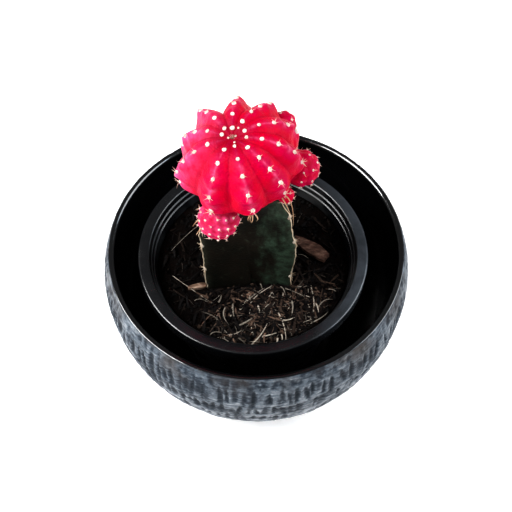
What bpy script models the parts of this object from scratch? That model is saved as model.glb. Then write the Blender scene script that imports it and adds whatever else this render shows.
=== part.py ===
# Potted grafted cactus: a red scion with offsets, grafted on a three-angled green rootstock that
# grows in a black nursery pot, which stands in a round black cover bowl.
# Metres, +Z up. The origin is under the middle of the bowl's foot, and the front is -Y.
import math
import random

import bmesh
import bpy
from mathutils import Matrix, Vector, noise

GAP = 0.0003
WELD = 1e-6
WORLD_UP = Vector((0, 0, 1))

# Cover bowl: an ellipse turned about Z, cut off flat at the foot and at the rim
BOWL_HEIGHT = 0.076
BOWL_BELLY_RADIUS = 0.062
BOWL_BELLY_Z = 0.0595
BOWL_HALF_HEIGHT = 0.0685
BOWL_WALL = 0.0028
BOWL_FLOOR = 0.005
BOWL_FOOT_RING = 0.004
BOWL_FOOT_RECESS = 0.0012
BOWL_FOOT_BEVEL = 0.0008
BOWL_LIP_TURNS = (45, 90, 135)
BOWL_OUTSIDE_ROWS = 8
BOWL_INSIDE_ROWS = 6
BOWL_COVE = 0.004
BOWL_SIDES = 48

# Nursery pot: a 9 cm pot, a little to the left of the bowl's middle
POT_X = -0.0013
POT_RIM_RADIUS = 0.0462
POT_MOUTH_RADIUS = 0.0416
POT_BASE_RADIUS = 0.030
POT_BASE_Z = BOWL_FLOOR + GAP
POT_RIM_Z = BOWL_HEIGHT - 0.0045
POT_WALL = 0.0012
POT_COLLAR = 0.0014
POT_SKIRT = 0.006
POT_SKIRT_WALL = 0.0011
POT_SHOULDER_RADIUS = 0.0424
POT_STEP_DROPS = (0.0030, 0.0054)
POT_STEP = 0.0006
POT_EDGE = 0.0008
POT_SOFT_EDGE = 0.0002
POT_SIDES = 48
DRAIN_HOLES = 6
DRAIN_RING_RADIUS = 0.019
DRAIN_HOLE_RADIUS = 0.003
DRAIN_HOLE_SIDES = 10

# Soil: the root ball that fills the pot
SOIL_Z = 0.0625
SOIL_MOUND = 0.0012
SOIL_RELIEF = 0.0011
SOIL_LUMP = 0.006
SOIL_RINGS = 11
SOIL_SIDES = 48
STRAWS = 54
STRAW_SEED = 7
STRAW_FIELD = 0.036
STRAW_HALF_LENGTHS = (0.002, 0.006)
STRAW_LIFTS = (-0.0002, 0.0014)
STRAW_SINK = 0.0004
STRAW_RADII = (0.0006, 0.0004)

# Rootstock: a three-angled stem that leans to the left
STEM_FOOT = Vector((-0.0020, -0.0016, SOIL_Z))
STEM_LEAN = -0.0022
STEM_BURIED = 0.022
GRAFT_Z = BOWL_HEIGHT + 0.0430
STEM_RIB_AZIMUTHS = (-30, 90, 210)
# how far each rib reaches at evenly spaced heights from the soil to the graft
STEM_REACHES = (
    (0.0182, 0.0180, 0.0189, 0.0199, 0.0204, 0.0207, 0.0194, 0.0188, 0.0181, 0.0142),
    (0.0182, 0.0185, 0.0188, 0.0192, 0.0195, 0.0194, 0.0190, 0.0184, 0.0174, 0.0148),
    (0.0200, 0.0202, 0.0202, 0.0199, 0.0198, 0.0198, 0.0199, 0.0192, 0.0174, 0.0134),
)
STEM_FLAT = 0.47
STEM_FACE_CURVE = 1.12
STEM_CREST_BLUNTING = 3
STEM_TAPER = 0.003
STEM_CREST_STEPS = (-60, -40, -22, -10, -3, 3, 10, 22, 40)
STEM_ROWS = 24
STEM_HOLE_ABOVE = 0.008
STEM_HOLE_GAP = 0.0006
# where each rib's areoles sit, as shares of the way from the soil to the graft
STEM_AREOLES = ((0.14, 0.60, 0.86), (0.20, 0.48, 0.78), (0.26, 0.55, 0.80))
STEM_CUSHION = 0.0009
STEM_SPINES = 4
STEM_SPINE_LENGTHS = (0.0022, 0.0034)

# Scion: a ribbed globe, its axis leaning to the left and to the front
SCION_CENTRE = Vector((-0.0060, 0.0, BOWL_HEIGHT + 0.0570))
SCION_RADIUS = 0.0218
SCION_HALF_HEIGHT = 0.0155
SCION_LEAN_LEFT = 9
SCION_LEAN_FRONT = 9
# each rib's azimuth, how far it reaches beside the others, the polar angle of its first areole,
# and how deep the groove after it is, as a share of the radius
RIBS = ((-162, 1.025, 22, 0.18), (-116, 0.985, 15, 0.14), (-77, 1.0, 10, 0.15),
        (-43, 0.965, 20, 0.13), (-11, 1.0, 13, 0.17), (21, 0.98, 12, 0.16), (55, 0.955, 17, 0.30),
        (89, 0.955, 9, 0.36), (129, 0.99, 11, 0.24), (163, 0.945, 10, 0.20))
RIB_SHARPNESS = 1.15
GROOVE_FADE = 1.0
RIM_FADE = 0.5
RIM_FADE_FROM = 60
RIM_FADE_SPAN = 45
GROOVE_DROP = 0.35
RIB_STEPS = 6
SCION_ROWS = 20
AREOLE_STEPS = (0, 14, 31, 52, 78)
CHIN_HEIGHT = 0.0012
CHIN_SPREAD = 7
CROWN_DIP = 0.0028
CROWN_SPREAD = 15
SPINELESS_CROWN = 30
SPINE_LENGTH = 0.0012
SPINE_LENGTHENING = 1.4e-5

AREOLE_RADIUS = 0.00085
OFFSET_AREOLE_RADIUS = 0.00062
OFFSET_SPINE = 0.0016
CUSHION_ROOT = 0.0011
SPINE_RADIUS = 0.00028
SPINE_TIP = 0.00004
SPINE_SPREAD = 0.7

# Offsets: centre, radius, direction of the growing tip, number of areoles
OFFSETS = {
    "front_left": (Vector((-0.0131, -0.0167, 0.1188)), 0.0073, Vector((-0.41, 0.03, 0.91)), 24),
    "right": (Vector((0.0159, 0.0, 0.1260)), 0.0065, Vector((0.65, -0.1, 0.75)), 20),
    "low_right": (Vector((0.0103, -0.0085, 0.1215)), 0.0031, Vector((0.6, -0.5, 0.3)), 9),
    "back_right": (Vector((0.0095, 0.0138, 0.1335)), 0.0047, Vector((0.6, 0.4, 0.7)), 13),
}
BIG_OFFSET = 0.005
BIG_OFFSET_SIDES = 18
SMALL_OFFSET_SIDES = 12
OFFSET_VALLEY = 0.92
OFFSET_COVER = 1.5
NECK_REACH = 0.0022
NECK_SIDES = 8
TUBERCLE_HEIGHT = 0.13
TUBERCLE_SPREAD = 0.36
SPINE_SEED = 3

# Long tan spines of the lowest areoles. Each leaves the scion's skin at a polar angle and azimuth,
# or an offset's skin in a direction, and goes on to its bend and its tip, both measured from there.
LONG_SCION_SPINES = (
    ((108, -46), (0.0014, -0.0035, -0.0028), (0.0018, -0.0060, -0.0068)),
    ((108, -46), (0.0006, -0.0032, -0.0026), (0.0008, -0.0052, -0.0056)),
    ((98, -78), (-0.0006, -0.0017, -0.0011), (-0.0016, -0.0024, -0.0026)),
    ((98, -78), (0.0002, -0.0018, -0.0010), (0.0002, -0.0026, -0.0028)),
    ((98, -78), (0.0009, -0.0016, -0.0009), (0.0018, -0.0022, -0.0022)),
)
LONG_OFFSET_SPINES = (
    ((-1.0, -0.1, 0.25), (-0.0018, -0.0017, -0.0014), (-0.0038, -0.0030, -0.0042)),
    ((-0.9, -0.4, -0.1), (-0.0010, -0.0014, -0.0012), (-0.0020, -0.0022, -0.0030)),
)
LONG_SPINE_ROOT = 0.0015
LONG_SPINE_RADII = (0.00040, 0.00035, 0.0001)
LONG_SPINE_SIDES = 4
KNEE_OVERLAP = 0.0004

# Bark chips that lie on the soil: middle, length, width, thickness, turn about Z
BARK_CHIP = (Vector((0.0222, 0.0062, 0)), 0.0165, 0.0054, 0.0016, -37)
SMALL_CHIP = (Vector((-0.0238, -0.0121, 0)), 0.0072, 0.0023, 0.0012, 12)


def clear_scene():
    for item in list(bpy.data.objects):
        bpy.data.objects.remove(item, do_unlink=True)


def paint(piece, colour, roughness):
    material = bpy.data.materials.new(piece.name)
    material.use_nodes = True
    shader = material.node_tree.nodes["Principled BSDF"]
    shader.inputs["Base Color"].default_value = (*colour, 1.0)
    shader.inputs["Roughness"].default_value = roughness
    piece.data.materials.clear()
    piece.data.materials.append(material)


def add_piece(name, bm, collection=None):
    mesh = bpy.data.meshes.new(name)
    bm.to_mesh(mesh)
    bm.free()
    piece = bpy.data.objects.new(name, mesh)
    (collection or bpy.context.scene.collection).objects.link(piece)
    return piece


def smooth(piece, sharp_degrees):
    piece.data.shade_smooth()
    piece.data.set_sharp_from_angle(angle=math.radians(sharp_degrees))


def turned(profile, sides, middle_x=0.0):
    """A solid from an open outline of (radius, z), both of whose ends lie on the axis."""
    bm = bmesh.new()
    points = [bm.verts.new((radius, 0, z)) for radius, z in profile]
    edges = [bm.edges.new(pair) for pair in zip(points, points[1:])]
    bmesh.ops.spin(bm, geom=points + edges, cent=(0, 0, 0), axis=(0, 0, 1), angle=math.tau,
                   steps=sides, use_merge=True)
    bmesh.ops.remove_doubles(bm, verts=bm.verts, dist=WELD)
    bmesh.ops.recalc_face_normals(bm, faces=bm.faces)
    bmesh.ops.translate(bm, verts=bm.verts, vec=(middle_x, 0, 0))
    return bm


def fuse(piece, collection):
    """Join everything in a collection to a piece, and take the collection's objects away."""
    union = piece.modifiers.new("repeats", "BOOLEAN")
    union.operation = "UNION"
    union.operand_type = "COLLECTION"
    union.collection = collection
    union.solver = "EXACT"
    evaluated = piece.evaluated_get(bpy.context.evaluated_depsgraph_get())
    fused = bpy.data.meshes.new_from_object(evaluated)
    bm = bmesh.new()
    bm.from_mesh(fused)
    bmesh.ops.remove_doubles(bm, verts=bm.verts, dist=WELD)
    bm.to_mesh(fused)
    bm.free()
    piece.modifiers.clear()
    piece.data = fused
    for item in list(collection.objects):
        bpy.data.objects.remove(item, do_unlink=True)
    bpy.data.collections.remove(collection)


def new_collection(name):
    collection = bpy.data.collections.new(name)
    bpy.context.scene.collection.children.link(collection)
    return collection


def ellipse_radius(z, radius, half_height):
    return radius * math.sqrt(max(0.0, 1 - ((z - BOWL_BELLY_Z) / half_height) ** 2))


def between(low, high, count):
    return [low + (high - low) * step / count for step in range(count + 1)]


def cover_bowl():
    lip = BOWL_WALL / 2
    lip_z = BOWL_HEIGHT - lip
    inner_radius = BOWL_BELLY_RADIUS - BOWL_WALL
    inner_half = BOWL_HALF_HEIGHT - BOWL_WALL
    foot = ellipse_radius(0, BOWL_BELLY_RADIUS, BOWL_HALF_HEIGHT)
    ring = foot - BOWL_FOOT_RING
    outline = [(0, BOWL_FOOT_RECESS), (ring, BOWL_FOOT_RECESS), (ring + BOWL_FOOT_BEVEL, 0)]
    outline += [(ellipse_radius(z, BOWL_BELLY_RADIUS, BOWL_HALF_HEIGHT), z)
                for z in between(0, lip_z, BOWL_OUTSIDE_ROWS)]
    lip_middle = ellipse_radius(lip_z, BOWL_BELLY_RADIUS, BOWL_HALF_HEIGHT) - lip
    outline += [(lip_middle + lip * math.cos(turn), lip_z + lip * math.sin(turn))
                for turn in map(math.radians, BOWL_LIP_TURNS)]
    outline += [(ellipse_radius(z, inner_radius, inner_half), z)
                for z in between(lip_z, BOWL_FLOOR + BOWL_COVE, BOWL_INSIDE_ROWS)]
    cove_radius = ellipse_radius(BOWL_FLOOR + BOWL_COVE, inner_radius, inner_half)
    outline += [(cove_radius - 0.7 * BOWL_COVE, BOWL_FLOOR + 0.15 * BOWL_COVE)]
    outline += [(cove_radius - 1.2 * BOWL_COVE, BOWL_FLOOR), (0, BOWL_FLOOR)]
    piece = add_piece("cover_bowl", turned(outline, BOWL_SIDES))
    smooth(piece, 40)
    paint(piece, (0.012, 0.014, 0.017), 0.25)
    return piece


def pot_outer_radius(z):
    share = (z - POT_BASE_Z) / (POT_RIM_Z - POT_COLLAR - POT_BASE_Z)
    return POT_BASE_RADIUS + (POT_SHOULDER_RADIUS - POT_BASE_RADIUS) * share


def pot_inner_radius(z):
    top = POT_RIM_Z - POT_STEP_DROPS[-1]
    top_radius = POT_MOUTH_RADIUS - POT_EDGE - len(POT_STEP_DROPS) * POT_STEP
    floor_z = POT_BASE_Z + POT_WALL
    floor_radius = POT_BASE_RADIUS - POT_WALL
    return floor_radius + (top_radius - floor_radius) * (z - floor_z) / (top - floor_z)


def nursery_pot():
    land_z = POT_RIM_Z
    web_z = land_z - POT_COLLAR
    skirt_z = land_z - POT_SKIRT
    skirt_radius = POT_RIM_RADIUS - POT_SKIRT_WALL
    outline = [(0, POT_BASE_Z), (POT_BASE_RADIUS - POT_EDGE, POT_BASE_Z),
               (POT_BASE_RADIUS, POT_BASE_Z + POT_EDGE),
               (pot_outer_radius(BOWL_HEIGHT / 2), BOWL_HEIGHT / 2),
               (POT_SHOULDER_RADIUS, web_z),
               (skirt_radius, web_z),
               (skirt_radius - POT_SOFT_EDGE, skirt_z),
               (POT_RIM_RADIUS - POT_SOFT_EDGE, skirt_z),
               (POT_RIM_RADIUS, land_z - POT_EDGE),
               (POT_RIM_RADIUS - POT_SOFT_EDGE, land_z - POT_SOFT_EDGE),
               (POT_RIM_RADIUS - POT_EDGE, land_z),
               (POT_MOUTH_RADIUS + POT_EDGE, land_z - POT_SOFT_EDGE),
               (POT_MOUTH_RADIUS, land_z - POT_EDGE)]
    radius = POT_MOUTH_RADIUS - POT_EDGE / 2
    for drop in POT_STEP_DROPS:
        outline += [(radius, land_z - drop), (radius - POT_STEP, land_z - drop - POT_SOFT_EDGE)]
        radius -= POT_STEP + POT_SOFT_EDGE
    floor_z = POT_BASE_Z + POT_WALL
    outline += [(pot_inner_radius(BOWL_HEIGHT / 2), BOWL_HEIGHT / 2),
                (POT_BASE_RADIUS - POT_WALL, floor_z), (0, floor_z)]
    piece = add_piece("nursery_pot", turned(outline, POT_SIDES, POT_X))
    holes = bmesh.new()
    for number in range(DRAIN_HOLES):
        turn = math.tau * (number + 0.5) / DRAIN_HOLES
        place = Matrix.Translation((POT_X + DRAIN_RING_RADIUS * math.cos(turn),
                                    DRAIN_RING_RADIUS * math.sin(turn), floor_z))
        bmesh.ops.create_cone(holes, segments=DRAIN_HOLE_SIDES, radius1=DRAIN_HOLE_RADIUS,
                              radius2=DRAIN_HOLE_RADIUS, depth=4 * POT_WALL, cap_ends=True,
                              matrix=place)
    cutter = add_piece("drain_holes", holes)
    cutter.hide_render = True
    cutter.display_type = "WIRE"
    cut = piece.modifiers.new("drain holes", "BOOLEAN")
    cut.operation = "DIFFERENCE"
    cut.object = cutter
    smooth(piece, 35)
    paint(piece, (0.016, 0.017, 0.019), 0.4)
    return piece


def chip_shelter(x, y):
    """1 on open soil, falling to 0 under each bark chip, where the soil lies flat."""
    open_soil = 1.0
    for middle, length, _, _, _ in (BARK_CHIP, SMALL_CHIP):
        clear_from, clear_by = 0.62 * length, 0.92 * length
        away = math.hypot(x - middle.x, y - middle.y)
        open_soil = min(open_soil, max(0.0, (away - clear_from) / (clear_by - clear_from)))
    return open_soil


def soil_height(x, y):
    away = math.hypot(x - STEM_FOOT.x, y - STEM_FOOT.y)
    mound = SOIL_MOUND * (1 - away / POT_MOUTH_RADIUS)
    lump = noise.noise(Vector((x, y, 0)) / SOIL_LUMP)
    crumb = noise.noise(Vector((x, y, 1)) / SOIL_LUMP * 2) / 2
    return SOIL_Z + chip_shelter(x, y) * (mound + SOIL_RELIEF * (lump + crumb))


def bar(start, end, radius_start, radius_end, sides, roll=0.0):
    """A slim closed bar or cone between two points."""
    bm = bmesh.new()
    along = end - start
    turn = WORLD_UP.rotation_difference(along).to_matrix().to_4x4()
    place = Matrix.Translation((start + end) / 2) @ turn @ Matrix.Rotation(roll, 4, "Z")
    bmesh.ops.create_cone(bm, segments=sides, radius1=radius_start, radius2=radius_end,
                          depth=along.length, cap_ends=True, matrix=place)
    return bm


def soil_straws(collection):
    """Straws laid on the soil, every other one in the front half."""
    rng = random.Random(STRAW_SEED)
    for number in range(STRAWS):
        reach = STRAW_FIELD * math.sqrt(rng.uniform(0.12, 1))
        turn = rng.uniform(math.radians(200), math.radians(340 if number % 2 else 560))
        middle = Vector((POT_X + reach * math.cos(turn), reach * math.sin(turn), 0))
        heading = rng.uniform(0, math.pi)
        half = Vector((math.cos(heading), math.sin(heading), 0)) * rng.uniform(*STRAW_HALF_LENGTHS)
        start = middle - half
        end = middle + half
        if not all(on_open_soil(point) for point in (start, middle, end)):
            continue
        start.z = soil_height(start.x, start.y) - STRAW_SINK
        end.z = soil_height(end.x, end.y) + rng.uniform(*STRAW_LIFTS)
        add_piece(f"straw_{number}", bar(start, end, *STRAW_RADII, 4), collection)


def on_open_soil(point):
    """Whether a straw can lie there: clear of the pot's wall, the stem and the chips."""
    margin = 3 * STRAW_RADII[0]
    clear_of_wall = math.hypot(point.x - POT_X, point.y) < pot_inner_radius(SOIL_Z) - margin
    flat = Vector((point.x, point.y, SOIL_Z))
    return clear_of_wall and outside_stem(flat, margin) and chip_shelter(point.x, point.y) >= 0.9


def potting_soil():
    floor_z = POT_BASE_Z + POT_WALL + GAP
    edge = pot_inner_radius(SOIL_Z) - GAP
    outline = [(0, floor_z), (pot_inner_radius(floor_z) - 2 * GAP, floor_z)]
    outline += [(edge * (1 - ring / SOIL_RINGS), SOIL_Z) for ring in range(SOIL_RINGS)]
    outline += [(0, SOIL_Z)]
    bm = turned(outline, SOIL_SIDES, POT_X)
    for vert in bm.verts:
        away = math.hypot(vert.co.x - POT_X, vert.co.y)
        if vert.co.z > SOIL_Z - GAP and away < edge - GAP:
            vert.co.z = soil_height(vert.co.x, vert.co.y)
    piece = add_piece("potting_soil", bm)
    straws = new_collection("straws")
    soil_straws(straws)
    fuse(piece, straws)
    cutter = add_piece("stem_hole", stem_hole())
    cutter.hide_render = True
    cutter.display_type = "WIRE"
    cut = piece.modifiers.new("stem hole", "BOOLEAN")
    cut.operation = "DIFFERENCE"
    cut.object = cutter
    paint(piece, (0.018, 0.012, 0.009), 0.9)
    return piece


def stem_middle(z):
    share = (z - SOIL_Z) / (GRAFT_Z - SOIL_Z)
    return Vector((STEM_FOOT.x + STEM_LEAN * max(0.0, share), STEM_FOOT.y, z))


def stem_rib_radius(z, rib):
    """How far a rib's crest stands from the stem's middle at a height."""
    share = (z - SOIL_Z) / (GRAFT_Z - SOIL_Z)
    reaches = STEM_REACHES[rib]
    if share <= 0:
        return reaches[0] - STEM_TAPER * ((SOIL_Z - z) / STEM_BURIED) ** 2
    last = len(reaches) - 1
    index = min(int(share * last), last - 1)
    return reaches[index] + (reaches[index + 1] - reaches[index]) * (share * last - index)


def stem_radius(z, azimuth):
    """The stem's outline at a height: three ribs with slightly hollow faces between them."""
    offsets = [(azimuth - rib + 180) % 360 - 180 for rib in STEM_RIB_AZIMUTHS]
    rib = min(range(3), key=lambda number: abs(offsets[number]))
    half_face = 60
    widest = half_face - STEM_CREST_BLUNTING
    from_face = min(widest, half_face - abs(offsets[rib]))
    crest = stem_rib_radius(z, rib)
    flat = STEM_FLAT * crest
    rise = face_rise(from_face) / face_rise(widest)
    return flat + (crest - flat) * rise


def face_rise(from_face):
    """How a flat face draws away from the middle with the angle from the face's own middle."""
    return (1 / math.cos(math.radians(from_face)) - 1) ** STEM_FACE_CURVE


def outside_stem(point, margin):
    if point.z > GRAFT_Z + margin:
        return True
    middle = stem_middle(point.z)
    azimuth = math.degrees(math.atan2(point.y - middle.y, point.x - middle.x))
    away = math.hypot(point.x - middle.x, point.y - middle.y)
    return away > stem_radius(point.z, azimuth) + margin


def stem_levels():
    return between(SOIL_Z - STEM_BURIED, GRAFT_Z, STEM_ROWS)


def stem_hole():
    """The plain hole in the soil: the buried stem, grown all round by the gap."""
    bm = stem_solid([z for z in stem_levels() if z < SOIL_Z + STEM_HOLE_ABOVE])
    bm.normal_update()
    grown = [vert.co + vert.normal * vert.calc_shell_factor() * STEM_HOLE_GAP for vert in bm.verts]
    for vert, place in zip(bm.verts, grown):
        vert.co = place
    return bm


def stem_solid(levels):
    """The stem through a list of heights, from the lowest up."""
    turns = [rib + step for rib in STEM_RIB_AZIMUTHS for step in STEM_CREST_STEPS]
    bm = bmesh.new()
    ring = bmesh.ops.create_circle(bm, cap_ends=False, segments=len(turns), radius=1)["verts"]
    edges = list(bm.edges)
    bmesh.ops.contextual_create(bm, geom=edges)
    for row, z in enumerate(levels):
        if row > 0:
            step = bmesh.ops.extrude_edge_only(bm, edges=edges)["geom"]
            ring = [item for item in step if isinstance(item, bmesh.types.BMVert)]
            edges = [item for item in step if isinstance(item, bmesh.types.BMEdge)
                     and all(vert in ring for vert in item.verts)]
        place_ring(ring, turns, z)
    bmesh.ops.contextual_create(bm, geom=edges)
    bmesh.ops.recalc_face_normals(bm, faces=bm.faces)
    bmesh.ops.triangulate(bm, faces=bm.faces, quad_method="FIXED")
    return bm


def place_ring(ring, turns, z):
    """Put a ring of points on the stem's outline, in the order of their angle."""
    old_middle = sum((vert.co for vert in ring), Vector()) / len(ring)
    middle = stem_middle(z)

    def turn_of(vert):
        from_middle = vert.co - old_middle
        return math.atan2(from_middle.y, from_middle.x) % math.tau

    for vert, azimuth in zip(sorted(ring, key=turn_of), sorted(turn % 360 for turn in turns)):
        away = stem_radius(z, azimuth)
        angle = math.radians(azimuth)
        vert.co = middle + Vector((away * math.cos(angle), away * math.sin(angle), 0))


def stem_areoles(collection):
    rng = random.Random(SPINE_SEED)
    for rib, azimuth in enumerate(STEM_RIB_AZIMUTHS):
        for share in STEM_AREOLES[rib]:
            areole_on_stem(collection, rng, rib, azimuth, SOIL_Z + share * (GRAFT_Z - SOIL_Z))


def areole_on_stem(collection, rng, rib, azimuth, z):
    out = Vector((math.cos(math.radians(azimuth)), math.sin(math.radians(azimuth)), 0))
    side = WORLD_UP.cross(out)
    seat = stem_middle(z) + out * (stem_radius(z, azimuth) - SPINE_RADIUS)
    name = f"stem_areole_{rib}_{round(z * 1e4)}"
    cushion(collection, name, seat, out, STEM_CUSHION)
    for number in range(STEM_SPINES):
        turn = math.tau * (number + rng.uniform(0.2, 0.8)) / STEM_SPINES
        aim = (out * 0.8 + side * math.cos(turn) + WORLD_UP * math.sin(turn)).normalized()
        root = seat - aim * 2 * SPINE_RADIUS
        tip = seat + aim * rng.uniform(*STEM_SPINE_LENGTHS)
        spine = bar(root, tip, SPINE_RADIUS, SPINE_TIP, 3)
        add_piece(f"{name}_spine_{number}", spine, collection)


def rootstock():
    piece = add_piece("rootstock", stem_solid(stem_levels()))
    repeats = new_collection("stem_areoles")
    stem_areoles(repeats)
    fuse(piece, repeats)
    smooth(piece, 35)
    paint(piece, (0.012, 0.022, 0.013), 0.5)
    return piece


def cushion(collection, name, seat, out, radius):
    """The woolly pad of an areole: a small blunt dome, its root sunk in the skin."""
    root = seat - out * CUSHION_ROOT
    dome = bar(root, seat + out * radius * 0.6, radius, radius * 0.55, 4)
    add_piece(name, dome, collection)


def scion_frame():
    """The scion's own axes: the third column is its axis, which leans."""
    lean = Matrix.Rotation(math.radians(-SCION_LEAN_LEFT), 3, "Y")
    return Matrix.Rotation(math.radians(SCION_LEAN_FRONT), 3, "X") @ lean


def rib_place(azimuth):
    """The nearest rib, how far across it (0 on its crest, 1 in the groove) and that groove's depth."""
    nearest = None
    for number, (crest, _, _, groove_after) in enumerate(RIBS):
        offset = (azimuth - crest + 180) % 360 - 180
        beside = RIBS[(number + (1 if offset >= 0 else -1)) % len(RIBS)]
        half_gap = abs((beside[0] - crest + 180) % 360 - 180) / 2
        across = abs(offset) / half_gap
        if nearest is None or across < nearest[1]:
            nearest = (number, across, groove_after if offset >= 0 else beside[3])
    return nearest


def areole_polars(rib):
    """The polar angles of a rib's areoles, which lie further apart away from the crown."""
    return [RIBS[rib][2] + step for step in AREOLE_STEPS]


def scion_point(polar, azimuth):
    """The scion's skin at a polar angle and an azimuth in degrees."""
    rib, across, depth = rib_place(azimuth)
    reach = 1 + (RIBS[rib][1] - 1) * (1 - across)
    slope = math.sin(math.radians(polar))
    below = min(1.0, max(0.0, (polar - RIM_FADE_FROM) / RIM_FADE_SPAN))
    shallowing = 1 - RIM_FADE * below * below * (3 - 2 * below)
    groove = depth * across ** RIB_SHARPNESS * slope ** GROOVE_FADE * shallowing
    away = SCION_RADIUS * slope * reach * (1 - groove)
    z = SCION_HALF_HEIGHT * math.cos(math.radians(polar)) * (1 - GROOVE_DROP * groove)
    chin = sum(math.exp(-((polar - seat - CHIN_SPREAD) / CHIN_SPREAD) ** 2)
               for seat in areole_polars(rib))
    away += CHIN_HEIGHT * chin * (1 - across) * slope
    z -= CROWN_DIP * math.exp(-(polar / CROWN_SPREAD) ** 2)
    angle = math.radians(azimuth)
    local = Vector((away * math.cos(angle), away * math.sin(angle), z))
    point = SCION_CENTRE + scion_frame() @ local
    point.z = max(point.z, GRAFT_Z + GAP)
    return point


def rib_columns():
    """Azimuths round the scion: each crest, and even steps from it to the next crest."""
    columns = []
    for number, (crest, _, _, _) in enumerate(RIBS):
        gap = (RIBS[(number + 1) % len(RIBS)][0] - crest) % 360
        columns += [crest + gap * step / RIB_STEPS for step in range(RIB_STEPS)]
    return columns


def scion_body():
    columns = rib_columns()
    bm = bmesh.new()
    bmesh.ops.create_uvsphere(bm, u_segments=len(columns), v_segments=SCION_ROWS, radius=1)
    for vert in bm.verts:
        polar = math.degrees(math.acos(max(-1.0, min(1.0, vert.co.z))))
        column = round(math.atan2(vert.co.y, vert.co.x) / math.tau * len(columns)) % len(columns)
        vert.co = scion_point(polar, columns[column])
    bmesh.ops.triangulate(bm, faces=bm.faces, quad_method="FIXED")
    return add_piece("scion", bm)


def inside_scion(point):
    """Whether a point is well inside the scion's globe."""
    local = scion_frame().inverted() @ (point - SCION_CENTRE)
    wide = 0.9 * SCION_RADIUS
    high = 0.95 * SCION_HALF_HEIGHT
    return (local.x / wide) ** 2 + (local.y / wide) ** 2 + (local.z / high) ** 2 < 1


def scion_areoles(collection):
    rng = random.Random(SPINE_SEED)
    for rib, (azimuth, _, _, _) in enumerate(RIBS):
        for polar in areole_polars(rib):
            seat = scion_point(polar, azimuth)
            if seat.z < GRAFT_Z + 5 * GAP or in_an_offset(seat):
                continue
            along = (scion_point(polar + 4, azimuth) - seat).normalized()
            side = (scion_point(polar, azimuth + 3) - scion_point(polar, azimuth - 3)).normalized()
            out = along.cross(side)
            if out.dot(seat - SCION_CENTRE) < 0:
                out.negate()
            if not outside_stem(seat + out * 0.002, 0.001):
                continue
            name = f"areole_{rib}_{round(polar)}"
            cushion(collection, name, seat, out, AREOLE_RADIUS)
            if polar > SPINELESS_CROWN:
                count = 3 if polar > 2 * SPINELESS_CROWN else 2
                length = SPINE_LENGTH + polar * SPINE_LENGTHENING
                star(collection, rng, name, seat, (out, along, side), count, length)


def star(collection, rng, name, seat, axes, count, length):
    """Short spines that spread from an areole."""
    out, along, side = axes
    for number in range(count):
        turn = math.tau * (number + rng.uniform(0.25, 0.75)) / count
        aim = (out * SPINE_SPREAD + along * math.cos(turn) + side * math.sin(turn)).normalized()
        tip = seat + aim * length * rng.uniform(0.8, 1.2)
        if outside_stem(tip, 0.001):
            spine = bar(seat, tip, SPINE_RADIUS, SPINE_TIP, 3, turn)
            add_piece(f"{name}_spine_{number}", spine, collection)


def in_an_offset(point):
    return any((point - centre).length < radius for centre, radius, _, _ in OFFSETS.values())


def offset_seats(count):
    """Directions spread evenly over a ball in a spiral, from its tip to a little past its side."""
    golden = math.pi * (3 - math.sqrt(5))
    seats = []
    for number in range(count):
        height = 1 - OFFSET_COVER * (number + 0.5) / count
        away = math.sqrt(1 - height * height)
        turn = golden * number
        seats.append(Vector((away * math.cos(turn), away * math.sin(turn), height)))
    return seats


def offset_skin(direction, seats, radius):
    """The offset's radius in a direction: a ball with a raised tubercle under each areole."""
    nearest = min(direction.angle(seat) for seat in seats)
    tubercle = TUBERCLE_HEIGHT * math.exp(-(nearest / TUBERCLE_SPREAD) ** 2)
    return radius * (OFFSET_VALLEY + tubercle)


def offsets(collection):
    rng = random.Random(SPINE_SEED + 1)
    for name, (centre, radius, tip, count) in OFFSETS.items():
        turn = WORLD_UP.rotation_difference(tip.normalized()).to_matrix()
        seats = offset_seats(count)
        sides = BIG_OFFSET_SIDES if radius > BIG_OFFSET else SMALL_OFFSET_SIDES
        bm = bmesh.new()
        bmesh.ops.create_uvsphere(bm, u_segments=sides, v_segments=sides // 2, radius=1)
        for vert in bm.verts:
            direction = vert.co.normalized()
            vert.co = centre + turn @ direction * offset_skin(direction, seats, radius)
        bmesh.ops.triangulate(bm, faces=bm.faces, quad_method="FIXED")
        add_piece(f"offset_{name}", bm, collection)
        neck_end = centre + (SCION_CENTRE - centre).normalized() * (radius + NECK_REACH)
        neck = bar(centre, neck_end, radius * 0.7, radius * 0.6, NECK_SIDES)
        add_piece(f"neck_{name}", neck, collection)
        for number, seat in enumerate(seats):
            out = (turn @ seat).normalized()
            place = centre + out * offset_skin(seat, seats, radius)
            if inside_scion(place) or not outside_stem(place, 0.0015):
                continue
            areole = f"areole_{name}_{number}"
            cushion(collection, areole, place, out, OFFSET_AREOLE_RADIUS)
            side = out.orthogonal().normalized()
            axes = (out, side, out.cross(side))
            star(collection, rng, areole, place, axes, 1, OFFSET_SPINE)


def long_spine(collection, name, host, leave, bend, tip):
    """A stout spine of two bars with a slight bend, its root sunk towards the middle of its host."""
    root_radius, knee_radius, tip_radius = LONG_SPINE_RADII
    root = leave + (host - leave).normalized() * LONG_SPINE_ROOT
    knee = leave + Vector(bend)
    overlap = (knee - root).normalized() * KNEE_OVERLAP
    upper = bar(root, knee + overlap, root_radius, knee_radius, LONG_SPINE_SIDES)
    lower = bar(knee - overlap, leave + Vector(tip), knee_radius, tip_radius, LONG_SPINE_SIDES, 0.4)
    add_piece(f"{name}_upper", upper, collection)
    add_piece(f"{name}_lower", lower, collection)


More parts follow.
